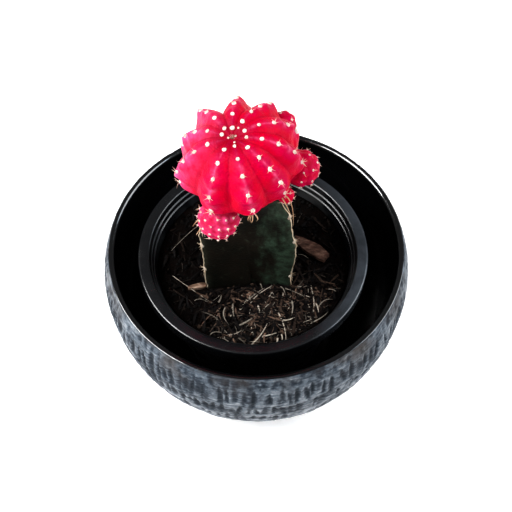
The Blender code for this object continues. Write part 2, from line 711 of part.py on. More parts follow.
def long_spines(collection):
    for number, (place, bend, tip) in enumerate(LONG_SCION_SPINES):
        long_spine(collection, f"long_{number}", SCION_CENTRE, scion_point(*place), bend, tip)
    centre, radius, _, _ = OFFSETS["front_left"]
    for number, (direction, bend, tip) in enumerate(LONG_OFFSET_SPINES):
        leave = centre + Vector(direction).normalized() * radius * OFFSET_VALLEY
        long_spine(collection, f"long_offset_{number}", centre, leave, bend, tip)


def scion():
    piece = scion_body()
    repeats = new_collection("scion_repeats")
    offsets(repeats)
    scion_areoles(repeats)
    long_spines(repeats)
    fuse(piece, repeats)
    smooth(piece, 50)
    paint(piece, (0.75, 0.004, 0.035), 0.35)
    return piece


def chip(name, shape, colour):
    """A flat splinter of bark: a bevelled, tapered board lying on the flat soil under it."""
    middle, length, width, thickness, turn = shape
    bm = bmesh.new()
    bmesh.ops.create_cube(bm, size=1)
    bmesh.ops.subdivide_edges(bm, edges=[edge for edge in bm.edges
                                         if abs(edge.verts[0].co.x - edge.verts[1].co.x) > 0.5],
                              cuts=3)
    for vert in bm.verts:
        along = vert.co.x * 2
        taper = 1 - 0.45 * along * along + 0.18 * along
        lift = 0.25 * (1 - along * along) if vert.co.z > 0 else 0.0
        vert.co = Vector((vert.co.x * length, vert.co.y * width * taper,
                          (vert.co.z + 0.5 + lift) * thickness))
    seat = Vector((middle.x, middle.y, SOIL_Z + GAP))
    bmesh.ops.transform(bm, verts=bm.verts,
                        matrix=Matrix.Translation(seat) @ Matrix.Rotation(math.radians(turn), 4, "Z"))
    piece = add_piece(name, bm)
    paint(piece, colour, 0.8)
    return piece


clear_scene()
cover_bowl()
nursery_pot()
potting_soil()
rootstock()
scion()
chip("bark_chip", BARK_CHIP, (0.085, 0.038, 0.022))
chip("small_bark_chip", SMALL_CHIP, (0.20, 0.115, 0.065))
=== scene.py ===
# A red grafted cactus in its nursery pot and round black cover bowl
import random
from math import acos, asin, atan2, cos, degrees, exp, floor, hypot, pi, radians, sin, sqrt, tau

import bmesh
import bpy
from mathutils import Matrix, Vector
from mathutils.noise import noise


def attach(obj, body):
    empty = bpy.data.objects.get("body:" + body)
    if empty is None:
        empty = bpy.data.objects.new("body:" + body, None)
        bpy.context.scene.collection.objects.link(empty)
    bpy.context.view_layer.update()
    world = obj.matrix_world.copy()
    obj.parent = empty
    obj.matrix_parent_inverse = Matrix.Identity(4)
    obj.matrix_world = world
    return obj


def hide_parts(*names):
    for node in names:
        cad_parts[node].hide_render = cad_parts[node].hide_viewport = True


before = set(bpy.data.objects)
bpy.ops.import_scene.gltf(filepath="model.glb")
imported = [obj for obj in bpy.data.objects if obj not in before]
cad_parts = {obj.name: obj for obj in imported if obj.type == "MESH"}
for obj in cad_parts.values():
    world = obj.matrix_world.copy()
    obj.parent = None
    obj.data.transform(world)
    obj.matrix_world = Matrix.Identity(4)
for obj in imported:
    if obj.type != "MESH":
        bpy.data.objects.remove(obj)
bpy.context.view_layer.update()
print("frame loaded:", ", ".join(sorted(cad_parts)))

worldUp = Vector((0, 0, 1))
seamGap = 0.0003


def clamp(value):
    return min(1.0, max(0.0, value))


def spoke(reach, angle, z=0.0):
    # the point at a reach and an angle round the z axis
    return Vector((reach * cos(angle), reach * sin(angle), z))


def turnFrom(start, azimuth):
    # degrees from one azimuth to another, -180 to 180
    return (azimuth - start + 180) % 360 - 180


def turnUpTo(direction):
    # the turn that takes the z axis to a direction
    return worldUp.rotation_difference(direction).to_matrix()


def shade(colour, share):
    return tuple(part * share for part in colour)


def stepsBetween(low, high, count):
    return [low + (high - low) * step / count for step in range(count + 1)]


def addObject(name, data):
    thing = bpy.data.objects.new(name, data)
    bpy.context.scene.collection.objects.link(thing)
    return thing


# Camera and light: the photo looks down at about 57 degrees

view = {
    "aim": (0, 0, 0.076),
    "distance": 0.380,
    "elevation": 57.3,
    "lens": 67.2,
    "shiftX": -0.0006,
    "shiftY": -0.0225,
}
studio = {
    "floorColour": (0.93, 0.93, 0.93),
    "floorGlow": 0.34,
    "worldColour": (1.0, 1.0, 1.0),
    "worldStrength": 0.30,
    "gamma": 0.86,
    "lampAim": (0, 0, 0.06),
    # place, size, power, colour, lights matt surfaces, shows in gloss
    "lamps": {
        "keyLight": ((-0.56, -0.08, 0.69), 0.42, 9.0, (1, 1, 1), True, True),
        "fillLight": ((0.62, 0.06, 0.58), 0.5, 6.0, (1, 1, 1), True, True),
        "frontLight": ((-0.42, -0.56, 0.30), 0.4, 1.5, (1, 1, 1), True, False),
        "leftShine": ((-0.56, -0.08, 0.69), 0.55, 36.0, (1, 1, 1), False, True),
        "rightShine": ((0.62, 0.06, 0.58), 0.60, 13.0, (0.72, 0.86, 1.0), False, True),
    },
}


def makeCamera():
    data = bpy.data.cameras.new("camera")
    data.lens = view["lens"]
    data.shift_x = view["shiftX"]
    data.shift_y = view["shiftY"]
    data.clip_start = 0.01
    camera = addObject("camera", data)
    tilt = radians(view["elevation"])
    back = Vector((0, -cos(tilt), sin(tilt)))
    camera.location = Vector(view["aim"]) + back * view["distance"]
    camera.rotation_euler = (radians(90) - tilt, 0, 0)
    bpy.context.scene.camera = camera


def makeLamps():
    for name, (place, size, power, colour, matt, gloss) in studio["lamps"].items():
        data = bpy.data.lights.new(name, "AREA")
        data.shape = "DISK"
        data.size = size
        data.energy = power
        data.color = colour
        lamp = addObject(name, data)
        lamp.location = place
        aim = Vector(studio["lampAim"]) - Vector(place)
        lamp.rotation_euler = aim.to_track_quat("-Z", "Y").to_euler()
        lamp.visible_diffuse = matt
        lamp.visible_glossy = gloss


def makeWorld():
    world = bpy.data.worlds.new("studio")
    world.use_nodes = True
    feed(world.node_tree.nodes["Background"],
         {"Color": studio["worldColour"], "Strength": studio["worldStrength"]})
    bpy.context.scene.world = world
    bpy.context.scene.view_settings.view_transform = "Standard"
    bpy.context.scene.view_settings.gamma = studio["gamma"]


# Shader nodes: each helper finds its tree through the socket that it is given

def feed(node, values):
    # fill a node's inputs: links sockets, types in numbers and colours
    for label, value in values.items():
        socket = node.inputs[label]
        if isinstance(value, bpy.types.NodeSocket):
            node.id_data.links.new(value, socket)
        else:
            socket.default_value = (*value, 1) if socket.type == "RGBA" else value


def addNode(source, kind, values):
    node = source.id_data.nodes.new("ShaderNode" + kind)
    feed(node, values)
    return node


def addNoise(coords, scale, detail=4.0, rough=0.55):
    return addNode(coords, "TexNoise", {"Vector": coords, "Scale": scale, "Detail": detail,
                                        "Roughness": rough}).outputs["Fac"]


def addMapping(coords, scale, turn=0):
    return addNode(coords, "Mapping", {"Vector": coords, "Scale": scale,
                                       "Rotation": (0, 0, radians(turn))}).outputs["Vector"]


def addSplit(coords):
    return addNode(coords, "SeparateXYZ", {"Vector": coords}).outputs


def addRamp(value, stops):
    node = addNode(value, "ValToRGB", {"Fac": value})
    bar = node.color_ramp
    while len(bar.elements) < len(stops):
        bar.elements.new(0.5)
    for element, (position, colour) in zip(bar.elements, stops):
        element.position = position
        element.color = (*colour, 1)
    return node.outputs["Color"]


def addRange(value, low, high, newLow=0.0, newHigh=1.0):
    return addNode(value, "MapRange", {"Value": value, "From Min": low, "From Max": high,
                                       "To Min": newLow, "To Max": newHigh}).outputs["Result"]


def addMath(kind, first, second):
    node = addNode(first, "Math", {0: first, 1: second})
    node.operation = kind
    return node.outputs["Value"]


def times(first, second):
    return addMath("MULTIPLY", first, second)


def plus(first, second):
    return addMath("ADD", first, second)


def addMix(amount, first, second):
    node = amount.id_data.nodes.new("ShaderNodeMix")
    node.data_type = "RGBA"
    feed(node, {0: amount, 6: first, 7: second})
    return node.outputs[2]


def addAttribute(coords, name):
    node = addNode(coords, "Attribute", {})
    node.attribute_name = name
    return node.outputs["Fac"]


def newGroup(name, inputs, outputs):
    tree = bpy.data.node_groups.new(name, "ShaderNodeTree")
    for direction, sockets in (("INPUT", inputs), ("OUTPUT", outputs)):
        for label, kind in sockets.items():
            tree.interface.new_socket(name=label, in_out=direction, socket_type="NodeSocket" + kind)
    return tree, tree.nodes.new("NodeGroupInput").outputs, tree.nodes.new("NodeGroupOutput")


def buildMottleGroup():
    # slow and fine colour drift: mixes two colours by noise of two sizes
    tree, given, end = newGroup(
        "mottle",
        {"Vector": "Vector", "Colour": "Color", "Other colour": "Color",
         "Scale": "Float", "Fine scale": "Float"},
        {"Colour": "Color", "Mask": "Float"})
    coarse = addNoise(given["Vector"], given["Scale"], 4.0, 0.5)
    fine = addNoise(given["Vector"], given["Fine scale"], 3.0, 0.5)
    mask = addRange(plus(times(coarse, 0.68), times(fine, 0.32)), 0.36, 0.64)
    feed(end, {"Colour": addMix(mask, given["Colour"], given["Other colour"]), "Mask": mask})
    return tree


def buildGrainGroup():
    # height of a fine grain: pits, and slow waves under them
    tree, given, end = newGroup(
        "grain", {"Vector": "Vector", "Scale": "Float", "Wave scale": "Float", "Wave share": "Float"},
        {"Height": "Float"})
    fine = addNoise(given["Vector"], given["Scale"], 2.0, 0.5)
    wave = addNoise(given["Vector"], given["Wave scale"], 2.0, 0.5)
    feed(end, {"Height": plus(fine, times(wave, given["Wave share"]))})
    return tree


mottle = buildMottleGroup()
grain = buildGrainGroup()


def newMaterial(name):
    material = bpy.data.materials.new(name)
    material.use_nodes = True
    nodes = material.node_tree.nodes
    return material, nodes["Principled BSDF"], nodes.new("ShaderNodeTexCoord").outputs["Object"]


def placeGroup(coords, group, values):
    node = coords.id_data.nodes.new("ShaderNodeGroup")
    node.node_tree = group
    feed(node, {"Vector": coords, **values})
    return node.outputs


def placeMottle(coords, colour, other, scale, fineScale):
    given = placeGroup(coords, mottle, {"Colour": colour, "Other colour": other, "Scale": scale,
                                        "Fine scale": fineScale})
    return given["Colour"], given["Mask"]


def setLook(shader, coords, colour, roughness, gloss, grainSizes):
    # grainSizes: scale, wave scale, wave share, depth and strength of the fine grain
    scale, waveScale, share, depth, strength = grainSizes
    pits = placeGroup(coords, grain, {"Scale": scale, "Wave scale": waveScale, "Wave share": share})
    bump = addNode(coords, "Bump", {"Height": pits["Height"], "Distance": depth, "Strength": strength})
    feed(shader, {"Base Color": colour, "Roughness": roughness, "Specular IOR Level": gloss,
                  "Normal": bump.outputs["Normal"]})


makeCamera()
makeLamps()
makeWorld()


# Mesh helpers

def meshFrom(bm, name):
    mesh = bpy.data.meshes.new(name)
    bm.to_mesh(mesh)
    bm.free()
    return mesh


def finishPiece(bm, name, node, material, sharpDegrees=None):
    mesh = meshFrom(bm, name)
    piece = addObject(name, mesh)
    mesh.materials.append(material)
    mesh.shade_smooth()
    if sharpDegrees:
        mesh.set_sharp_from_angle(angle=radians(sharpDegrees))
    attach(piece, "root")
    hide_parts(node)
    return piece


def addLayers(bm, *names):
    for name in names:
        bm.verts.layers.float.new(name)
    return [bm.verts.layers.float[name] for name in names]


def spinOutline(outline, steps, middleX=0.0):
    # a solid of revolution from (radius, z) points that start and end on the axis
    bm = bmesh.new()
    points = [bm.verts.new((radius, 0, z)) for radius, z in outline]
    edges = [bm.edges.new(pair) for pair in zip(points, points[1:])]
    bmesh.ops.spin(bm, geom=points + edges, cent=(0, 0, 0), axis=(0, 0, 1),
                   angle=tau, steps=steps, use_merge=True)
    bmesh.ops.remove_doubles(bm, verts=bm.verts, dist=1e-6)
    bmesh.ops.recalc_face_normals(bm, faces=bm.faces)
    bmesh.ops.translate(bm, verts=bm.verts, vec=(middleX, 0, 0))
    return bm


def bendPoints(start, control, end, steps):
    return [start.lerp(control, share).lerp(control.lerp(end, share), share)
            for share in stepsBetween(0, 1, steps)]


def softOutline(corners):
    # round the corners of an outline between its ends: each one is (r, z, rounding radius)
    soft = [Vector(corners[0][:2])]
    for before, (r, z, radius), after in zip(corners, corners[1:], corners[2:]):
        point = Vector((r, z))
        back = Vector(before[:2]) - point
        on = Vector(after[:2]) - point
        reach = min(radius, back.length * 0.45, on.length * 0.45)
        first = point + back.normalized() * reach
        last = point + on.normalized() * reach
        soft += bendPoints(first, point, last, 4)
    soft.append(Vector(corners[-1][:2]))
    return [(max(0.0, point.x), point.y) for point in soft]


carrier = bpy.data.meshes.new("carrier")


def addShape(bm, template, place, tone):
    # copy a small template into bm, each point moved by place(point)
    shape = template.copy()
    layer = shape.verts.layers.float["tone"]
    for vert in shape.verts:
        vert.co = place(vert.co)
        vert[layer] = tone
    shape.to_mesh(carrier)
    shape.free()
    bm.from_mesh(carrier)


def newBunch():
    bm = bmesh.new()
    addLayers(bm, "tone", "heart")
    return bm


def startRing(bm, sides):
    # a capped round face, whose edges grow into a rod or a stem
    bmesh.ops.create_circle(bm, cap_ends=False, segments=sides, radius=1)
    edges = list(bm.edges)
    bmesh.ops.contextual_create(bm, geom=edges)
    return edges


def growRing(bm, edges):
    grown = bmesh.ops.extrude_edge_only(bm, edges=edges)["geom"]
    ring = [item for item in grown if isinstance(item, bmesh.types.BMVert)]
    inRing = set(ring)
    return ring, [item for item in grown if isinstance(item, bmesh.types.BMEdge)
                  and all(vert in inRing for vert in item.verts)]


def closeRing(bm, edges):
    bmesh.ops.contextual_create(bm, geom=edges)
    bmesh.ops.recalc_face_normals(bm, faces=bm.faces)
    return bm


def rodTemplate(sides, joints, tip):
    # a closed rod from z 0 to z 1, radius 1 narrowing to tip
    bm = newBunch()
    edges = startRing(bm, sides)
    for share in stepsBetween(0, 1, joints)[1:]:
        ring, edges = growRing(bm, edges)
        width = 1 + (tip - 1) * share ** 1.3
        for vert in ring:
            around = Vector((vert.co.x, vert.co.y)).normalized() * width
            vert.co = Vector((around.x, around.y, share))
    return closeRing(bm, edges)


def addBentRod(bm, template, path, radius, tone, flatness=1.0, roll=0.0):
    # lay a rod along a path of points; the template's z runs along it
    axis = (path[-1] - path[0]).normalized()
    turn = turnUpTo(axis) @ Matrix.Rotation(roll, 3, "Z")
    across = turn @ Vector((1, 0, 0))
    over = turn @ Vector((0, 1, 0))
    last = len(path) - 1

    def place(point):
        spot = clamp(point.z) * last
        index = min(int(spot), last - 1)
        middle = path[index].lerp(path[index + 1], spot - index)
        return middle + across * point.x * radius + over * point.y * radius * flatness

    addShape(bm, template, place, tone)


def curvePath(start, middle, end, count):
    # points of a smooth bend through three places
    return bendPoints(start, middle * 2 - (start + end) / 2, end, count - 1)


# Cover bowl: glossy black inside, hammered blue-grey outside

bowl = {
    "height": 0.076,
    "bellyRadius": 0.062,
    "bellyZ": 0.0595,
    "halfHeight": 0.0685,
    "wall": 0.0028,
    "floor": 0.005,
    "footRing": 0.004,
    "footRecess": 0.0012,
    "cove": 0.004,
    "sides": 540,
    "outsideRows": 116,
    "insideRows": 22,
    "insideDrop": 0.0022,
    "lipEdge": 0.0009,
    "lipFall": ((0.0012, 0), (0.0017, 0.00008), (0.0021, 0.0003), (0.0025, 0.0007), (0.0028, 0.0013)),
    "smoothBand": 0.0009,
    "rowHeights": (0.0045, 0.0118, 0.0096, 0.0088, 0.0080, 0.0078, 0.0080, 0.0080, 0.0080, 0.0080),
    "markWidth": 0.0033,
    "markDepth": 0.00070,
    "markSway": 0.35,
    "slowSway": 0.0020,
    "quickSway": 0.0010,
    "topRowShare": 0.5,
    "lowRowLoss": 0.4,
    "lowRowFade": 0.012,
    "rimTuck": 0.0014,
    "rimTuckFrom": 0.060,
    "ripple": 0.00022,
    "waveDepth": 0.00034,
    "waveTop": 0.066,
    "waveFade": 0.012,
    "ridgeShare": 0.78,
    "waveShare": 0.55,
    "seed": 5,
    "insideColour": (0.0022, 0.0024, 0.0030),
    # painted shade in the hammer marks, the slate glaze, its lighter ridges with some painted highlight, and
    # painted glints
    "paintedHollowShade": (0.0060, 0.0105, 0.0175),
    "slateColour": (0.0200, 0.0310, 0.0470),
    "ridgeColour": (0.112, 0.140, 0.172),
    "paintedGlint": (0.27, 0.295, 0.320),
    "brownColour": (0.040, 0.032, 0.029),
    "insideRoughness": 0.16,
    "hollowRoughness": 0.80,
    "ridgeRoughness": 0.34,
}


def ellipseRadius(z, radius, halfHeight):
    return radius * sqrt(max(0.0, 1 - ((z - bowl["bellyZ"]) / halfHeight) ** 2))


def outsideRadius(z):
    high = max(0.0, z - bowl["rimTuckFrom"]) / (bowl["height"] - bowl["rimTuckFrom"])
    return ellipseRadius(z, bowl["bellyRadius"], bowl["halfHeight"]) - bowl["rimTuck"] * high * high


def insideRadius(z):
    return ellipseRadius(z, bowl["bellyRadius"] - bowl["wall"], bowl["halfHeight"] - bowl["wall"])


def skinDistance(z):
    # how far down the outside a height lies, along the skin from the rim
    rise = [asin(max(-1.0, (level - bowl["bellyZ"]) / bowl["halfHeight"]))
            for level in (bowl["height"], z)]
    return (bowl["bellyRadius"] + bowl["halfHeight"]) / 2 * (rise[0] - rise[1])


def hammerRows():
    # the rows of upright oval marks down the bowl: start, height and the marks along the row
    rng = random.Random(bowl["seed"])
    rows = []
    start = bowl["smoothBand"]
    for height in bowl["rowHeights"]:
        share = (start + height / 2) / skinDistance(0)
        radius = outsideRadius(bowl["height"] * (1 - share))
        count = round(tau * radius / bowl["markWidth"])
        marks = [(rng.choice((0.0, 0.4, 0.7, 0.9, 1.0, 1.0, 1.0, 1.0)), rng.uniform(-0.20, 0.20),
                  rng.uniform(-0.14, 0.14), rng.uniform(0.24, 0.38), rng.uniform(0.36, 0.60),
                  rng.uniform(-0.55, 0.55)) for _ in range(count)]
        rows.append((start, height, marks))
        start += height
    return rows


hammerMarks = hammerRows()


def hammerRelief(x, y, z):
    # how deep the skin is struck in at a place, 0 to 1
    around = Vector((x, y, 0)).normalized()
    away = skinDistance(z) + bowl["slowSway"] * noise(around * 2.3 + Vector((0, 0, 4)))
    away += bowl["quickSway"] * noise(around * 9 + Vector((0, 0, z * 60)))
    deepest = 0.0
    for row, (start, height, marks) in enumerate(hammerMarks):
        down = (away - start) / height - 0.5
        if abs(down) > 0.75:
            continue
        spot = atan2(y, x) / tau * len(marks) - 0.5
        spot += bowl["markSway"] * noise(around * 20 + Vector((0, 0, row * 3.1)))
        for cell in (floor(spot), floor(spot) + 1):
            strength, shift, rise, wide, tall, slant = marks[cell % len(marks)]
            across = (spot - cell - shift + slant * down) / wide
            along = (down - rise) / tall
            deepest = max(deepest, strength * max(0.0, 1 - across * across - along * along) ** 0.6)
    lowRow = clamp((away - hammerMarks[2][0]) / bowl["lowRowFade"])
    return deepest * (bowl["topRowShare"] if away < hammerMarks[1][0] else 1.0 - bowl["lowRowLoss"] * lowRow)


def addStrokes(coords):
    # the short upright strokes of the hammer: distance from the middle of long cells
    cells = addMapping(coords, (280, 280, 76))
    shift = addNode(coords, "VectorMath", {0: cells, 1: addNoise(coords, 110, 2)})
    return addNode(coords, "TexVoronoi", {"Vector": shift.outputs["Vector"], "Scale": 1.0,
                                          "Randomness": 1.0}).outputs["Distance"]


def bowlMaterial():
    material, shader, coords = newMaterial("blackGlaze")
    outside = addAttribute(coords, "outside")
    height = addSplit(coords)["Z"]
    speck = addNoise(coords, 850)
    wrinkle = addNoise(addMapping(coords, (1, 1, 4.5)), 190, 4, 0.6)
    strokes = addRange(addStrokes(coords), 0.08, 0.46, 0.48, 1.1)
    tone = times(addAttribute(coords, "ridge"), addRange(addNoise(coords, 85), 0.3, 0.7, 0.42, 1.05))
    tone = times(tone, addMath("MAXIMUM", strokes, addRange(height, 0.050, 0.064, 0.72, 0.35)))
    tone = plus(tone, addRange(speck, 0.35, 0.7, -0.08, 0.14))
    tone = plus(tone, addRange(wrinkle, 0.38, 0.66, -0.14, 0.20))
    # the tone ramp paints shade into the hammer hollows and highlights on the ridges, up to painted glints
    worked = addRamp(tone, [(0.06, bowl["paintedHollowShade"]), (0.42, bowl["slateColour"]),
                            (0.78, bowl["ridgeColour"]), (1.0, bowl["paintedGlint"])])
    brown = times(addRange(height, 0.064, 0.074, 0.0, 0.85), addRange(addNoise(coords, 60, 3), 0.42, 0.62))
    worked = addMix(brown, worked, bowl["brownColour"])
    rough = addRange(tone, 0.05, 0.75, bowl["hollowRoughness"], bowl["ridgeRoughness"])
    smooth = addRange(speck, 0.3, 0.7, bowl["insideRoughness"] - 0.04, bowl["insideRoughness"] + 0.05)
    rough = plus(times(outside, rough), times(addRange(outside, 0, 1, 1, 0), smooth))
    feed(shader, {"Coat Weight": addRange(outside, 0, 1, 0.9, 0.0), "Coat Roughness": 0.07})
    setLook(shader, coords, addMix(outside, bowl["insideColour"], worked), rough, 0.19,
            (1300, 300, 1.0, 0.00016, 0.5))
    return material


def bowlOutline():
    base = outsideRadius(0)
    ring = base - bowl["footRing"]
    recess, edge, cove = bowl["footRecess"], bowl["lipEdge"], bowl["cove"]
    top, floorZ = bowl["height"], bowl["floor"]
    outline = [(0, recess), (ring - 0.0004, recess), (ring, recess * 0.9), (ring + 0.0006, 0.0001),
               (ring + 0.001, 0), (base - 0.0005, 0), (base - 0.0001, 0.0001)]
    low, high = [asin((z - bowl["bellyZ"]) / bowl["halfHeight"]) for z in (0.0006, top - edge)]
    for turn in stepsBetween(low, high, bowl["outsideRows"]):
        z = bowl["bellyZ"] + bowl["halfHeight"] * sin(turn)
        outline.append((outsideRadius(z), z))
    lip = outsideRadius(top - edge)
    outline += [(lip - edge * (1 - cos(turn)), top - edge * (1 - sin(turn)))
                for turn in stepsBetween(radians(10), radians(80), 6)]
    outline += [(lip - reach, top - drop) for reach, drop in bowl["lipFall"]]
    outline += [(insideRadius(z), z)
                for z in stepsBetween(top - bowl["insideDrop"], floorZ + cove, bowl["insideRows"])]
    coveRadius = insideRadius(floorZ + cove)
    outline += [(coveRadius - inward * cove, floorZ + up * cove)
                for inward, up in ((0.3, 0.45), (0.7, 0.15), (1.2, 0))]
    return outline + [(0.015, floorZ), (0, floorZ)]


def makeBowl():
    bm = spinOutline(bowlOutline(), bowl["sides"])
    outside, ridge = addLayers(bm, "outside", "ridge")
    top = bowl["height"] - bowl["lipEdge"] * 0.14
    for vert in bm.verts:
        x, y, z = vert.co
        away = hypot(x, y)
        if away > outsideRadius(z) - 0.0007 and 0.0005 < z < top:
            depth = hammerRelief(x, y, z)
            ripple = abs(noise(Vector((x, y, z * 2)) * 190)) * bowl["ripple"]
            wave = noise((x * 90, y * 90, z * 330)) * clamp((bowl["waveTop"] - z) / bowl["waveFade"])
            vert[outside] = 1.0
            flat = bowl["ridgeShare"] - bowl["ridgeShare"] * depth
            vert[ridge] = max(0.0, flat + bowl["waveShare"] * wave)
            away -= bowl["markDepth"] * depth + ripple - bowl["waveDepth"] * wave
            vert.co = spoke(away, atan2(y, x), z)
    finishPiece(bm, "coverBowl", "cover_bowl", bowlMaterial())


makeBowl()
print("cover bowl done")


# Nursery pot: satin black plastic with a turned-over collar

pot = {
    "x": -0.0013,
    "rimRadius": 0.0462,
    "mouthRadius": 0.0416,
    "baseRadius": 0.030,
    "baseZ": bowl["floor"] + seamGap,
    "rimZ": bowl["height"] - 0.0045,
    "wall": 0.0012,
    "collar": 0.0014,
    "skirt": 0.006,
    "skirtWall": 0.0011,
    "shoulderRadius": 0.0424,
    "stepDrops": (0.0030, 0.0054),
    "step": 0.0006,
    "edge": 0.0008,
    "softEdge": 0.0002,
    "sides": 192,
    "drainHoles": 6,
    "drainRing": 0.019,
    "drainRadius": 0.003,
    "colour": (0.0042, 0.0047, 0.0060),
    "dustColour": (0.022, 0.020, 0.020),
    # painted reflection: the collar's lighter bluish side at the right
    "paintedReflectionColour": (0.070, 0.084, 0.102),
}


def potInnerRadius(z):
    top = pot["rimZ"] - pot["stepDrops"][-1]
    topRadius = pot["mouthRadius"] - pot["edge"] - len(pot["stepDrops"]) * pot["step"]
    floorZ = pot["baseZ"] + pot["wall"]
    floorRadius = pot["baseRadius"] - pot["wall"]
    return floorRadius + (topRadius - floorRadius) * (z - floorZ) / (top - floorZ)


def potMaterial():
    material, shader, coords = newMaterial("potPlastic")
    collar = addAttribute(coords, "collar")
    colour, mask = placeMottle(coords, pot["colour"], shade(pot["colour"], 0.72), 140, 1700)
    # painted reflection: the collar turns lighter and bluer towards its right side
    paintedReflection = times(addRange(addNoise(coords, 95, 3), 0.35, 0.65, 0.5, 1.0),
                  addRange(addSplit(coords)["X"], 0.022, 0.044, 0.0, 0.85))
    colour = addMix(times(paintedReflection, collar), colour, pot["paintedReflectionColour"])
    dust = times(addRange(addNoise(coords, 2600, 2, 0.7), 0.62, 0.78, 0.0, 0.5),
                 addRange(addNoise(coords, 45, 2), 0.4, 0.65, 0.1, 1.0))
    worn = times(addRange(addNoise(coords, 75, 2), 0.44, 0.56, 0.04, 0.32), addRange(collar, 0, 1, 1.0, 0.0))
    rough = plus(plus(addRange(mask, 0, 1, 0.18, 0.28), times(dust, 0.5)), worn)
    setLook(shader, coords, addMix(dust, colour, pot["dustColour"]), rough, 0.40,
            (1900, 260, 0.8, 0.00006, 0.4))
    return material


def potOutline():
    rimZ, soft, step = pot["rimZ"], pot["softEdge"], pot["step"]
    rim, mouth, base = pot["rimRadius"], pot["mouthRadius"], pot["baseRadius"]
    webZ, skirtZ, floorZ = rimZ - pot["collar"], rimZ - pot["skirt"], pot["baseZ"] + pot["wall"]
    skirt = rim - pot["skirtWall"]
    corners = [(0, pot["baseZ"]), (base, pot["baseZ"], 0.0009), (pot["shoulderRadius"], webZ, 0.0003),
               (skirt, webZ, 0.0004), (skirt - soft, skirtZ, 0.0003), (rim - soft, skirtZ, 0.0003),
               (rim, rimZ, 0.0009), (mouth + 0.0026, rimZ - soft * 0.4, 0.0003), (mouth, rimZ - soft, 0.0008)]
    radius = mouth - pot["edge"] / 2
    for drop in pot["stepDrops"]:
        corners += [(radius, rimZ - drop, 0.0003), (radius - step, rimZ - drop - soft, 0.0003)]
        radius -= step + soft
    return softOutline(corners + [(base - pot["wall"], floorZ, 0.0006), (0, floorZ)])


def makePot():
    bm = spinOutline(potOutline(), pot["sides"], pot["x"])
    collar = addLayers(bm, "collar")[0]
    for vert in bm.verts:
        onCollar = hypot(vert.co.x - pot["x"], vert.co.y) > pot["mouthRadius"] + 0.0002
        vert[collar] = 1.0 if onCollar and vert.co.z > pot["rimZ"] - pot["skirt"] else 0.0
    piece = finishPiece(bm, "nurseryPot", "nursery_pot", potMaterial(), sharpDegrees=50)
    holes = bmesh.new()
    middle = Vector((pot["x"], 0, pot["baseZ"] + pot["wall"]))
    for number in range(pot["drainHoles"]):
        place = middle + spoke(pot["drainRing"], tau * (number + 0.5) / pot["drainHoles"])
        bmesh.ops.create_cone(holes, segments=32, radius1=pot["drainRadius"], radius2=pot["drainRadius"],
                              depth=4 * pot["wall"], cap_ends=True, matrix=Matrix.Translation(place))
    cutAway(piece, holes)


def cutAway(piece, cutter):
    # subtract a bmesh from a piece for good
    tool = addObject("cutter", meshFrom(cutter, "cutter"))
    cut = piece.modifiers.new("cut", "BOOLEAN")
    cut.operation = "DIFFERENCE"
    cut.object = tool
    evaluated = piece.evaluated_get(bpy.context.evaluated_depsgraph_get())
    piece.data = bpy.data.meshes.new_from_object(evaluated)
    piece.modifiers.clear()
    bpy.data.objects.remove(tool, do_unlink=True)


makePot()
print("nursery pot done")


# Rootstock: three-angled dark green stem

soilZ = 0.0625

stem = {
    "footX": -0.0020,
    "footY": -0.0016,
    "lean": -0.0022,
    "buried": 0.022,
    "graftZ": 0.119,
    "ribs": (-30, 90, 210),
    "flat": 0.47,
    "faceCurve": 1.12,
    "faceEdge": 57.0,
    "taper": 0.003,
    "columns": 42,
    "rows": 110,
    "holeGap": 0.0006,
    "colour": (0.0050, 0.0068, 0.0050),
    "otherColour": (0.0165, 0.0120, 0.0082),
    "greenColour": (0.0520, 0.0880, 0.0580),
    "scarColour": (0.040, 0.046, 0.030),
    "marginColour": (0.93, 0.84, 0.68),
    "marginShade": (0.50, 0.36, 0.22),
    "marginRadius": 0.00024,
    "marginSway": 0.0006,
    "marginLift": 0.0007,
    "marginClear": 0.00012,
    # each horny strand's shift to the side and share of the full width
    "strands": ((-0.00014, 1.0), (0.00014, 0.72)),
    "strandSway": 2.2,
    "skinRelief": 0.00016,
    "knotRadius": 0.0011,
    "knotSpines": 5,
    "spineLengths": (0.0018, 0.0032),
    "spineRadius": 0.00013,
    "woolColour": (0.78, 0.73, 0.64),
    "woolShade": (0.26, 0.19, 0.12),
    "spineColour": (0.84, 0.74, 0.58),
    "spineShade": (0.40, 0.27, 0.17),
    "seed": 11,
}

# how far each rib of the stem reaches at evenly spaced heights from the soil to the graft
stemReach = (
    (0.0182, 0.0180, 0.0189, 0.0199, 0.0204, 0.0207, 0.0194, 0.0188, 0.0181, 0.0142),
    (0.0182, 0.0185, 0.0188, 0.0192, 0.0195, 0.0194, 0.0190, 0.0184, 0.0174, 0.0148),
    (0.0200, 0.0202, 0.0202, 0.0199, 0.0198, 0.0198, 0.0199, 0.0192, 0.0174, 0.0134),
)
# heights of the areoles of each rib, as shares of the way from the soil to the graft
stemAreoles = ((0.14, 0.60, 0.86), (0.20, 0.48, 0.78), (0.26, 0.55, 0.80))


def stemShare(z):
    return (z - soilZ) / (stem["graftZ"] - soilZ)


def stemMiddle(z):
    return Vector((stem["footX"] + stem["lean"] * max(0.0, stemShare(z)), stem["footY"], z))


def stemRibRadius(z, rib):
    share = stemShare(z)
    reaches = stemReach[rib]
    if share <= 0:
        return reaches[0] - stem["taper"] * ((soilZ - z) / stem["buried"]) ** 2
    spot = min(share, 0.9999) * (len(reaches) - 1)
    index = int(spot)
    ease = (1 - cos(pi * (spot - index))) / 2
    return reaches[index] + (reaches[index + 1] - reaches[index]) * (0.5 * ease + 0.5 * (spot - index))


def faceRise(fromFace):
    return (1 / cos(radians(fromFace)) - 1) ** stem["faceCurve"]


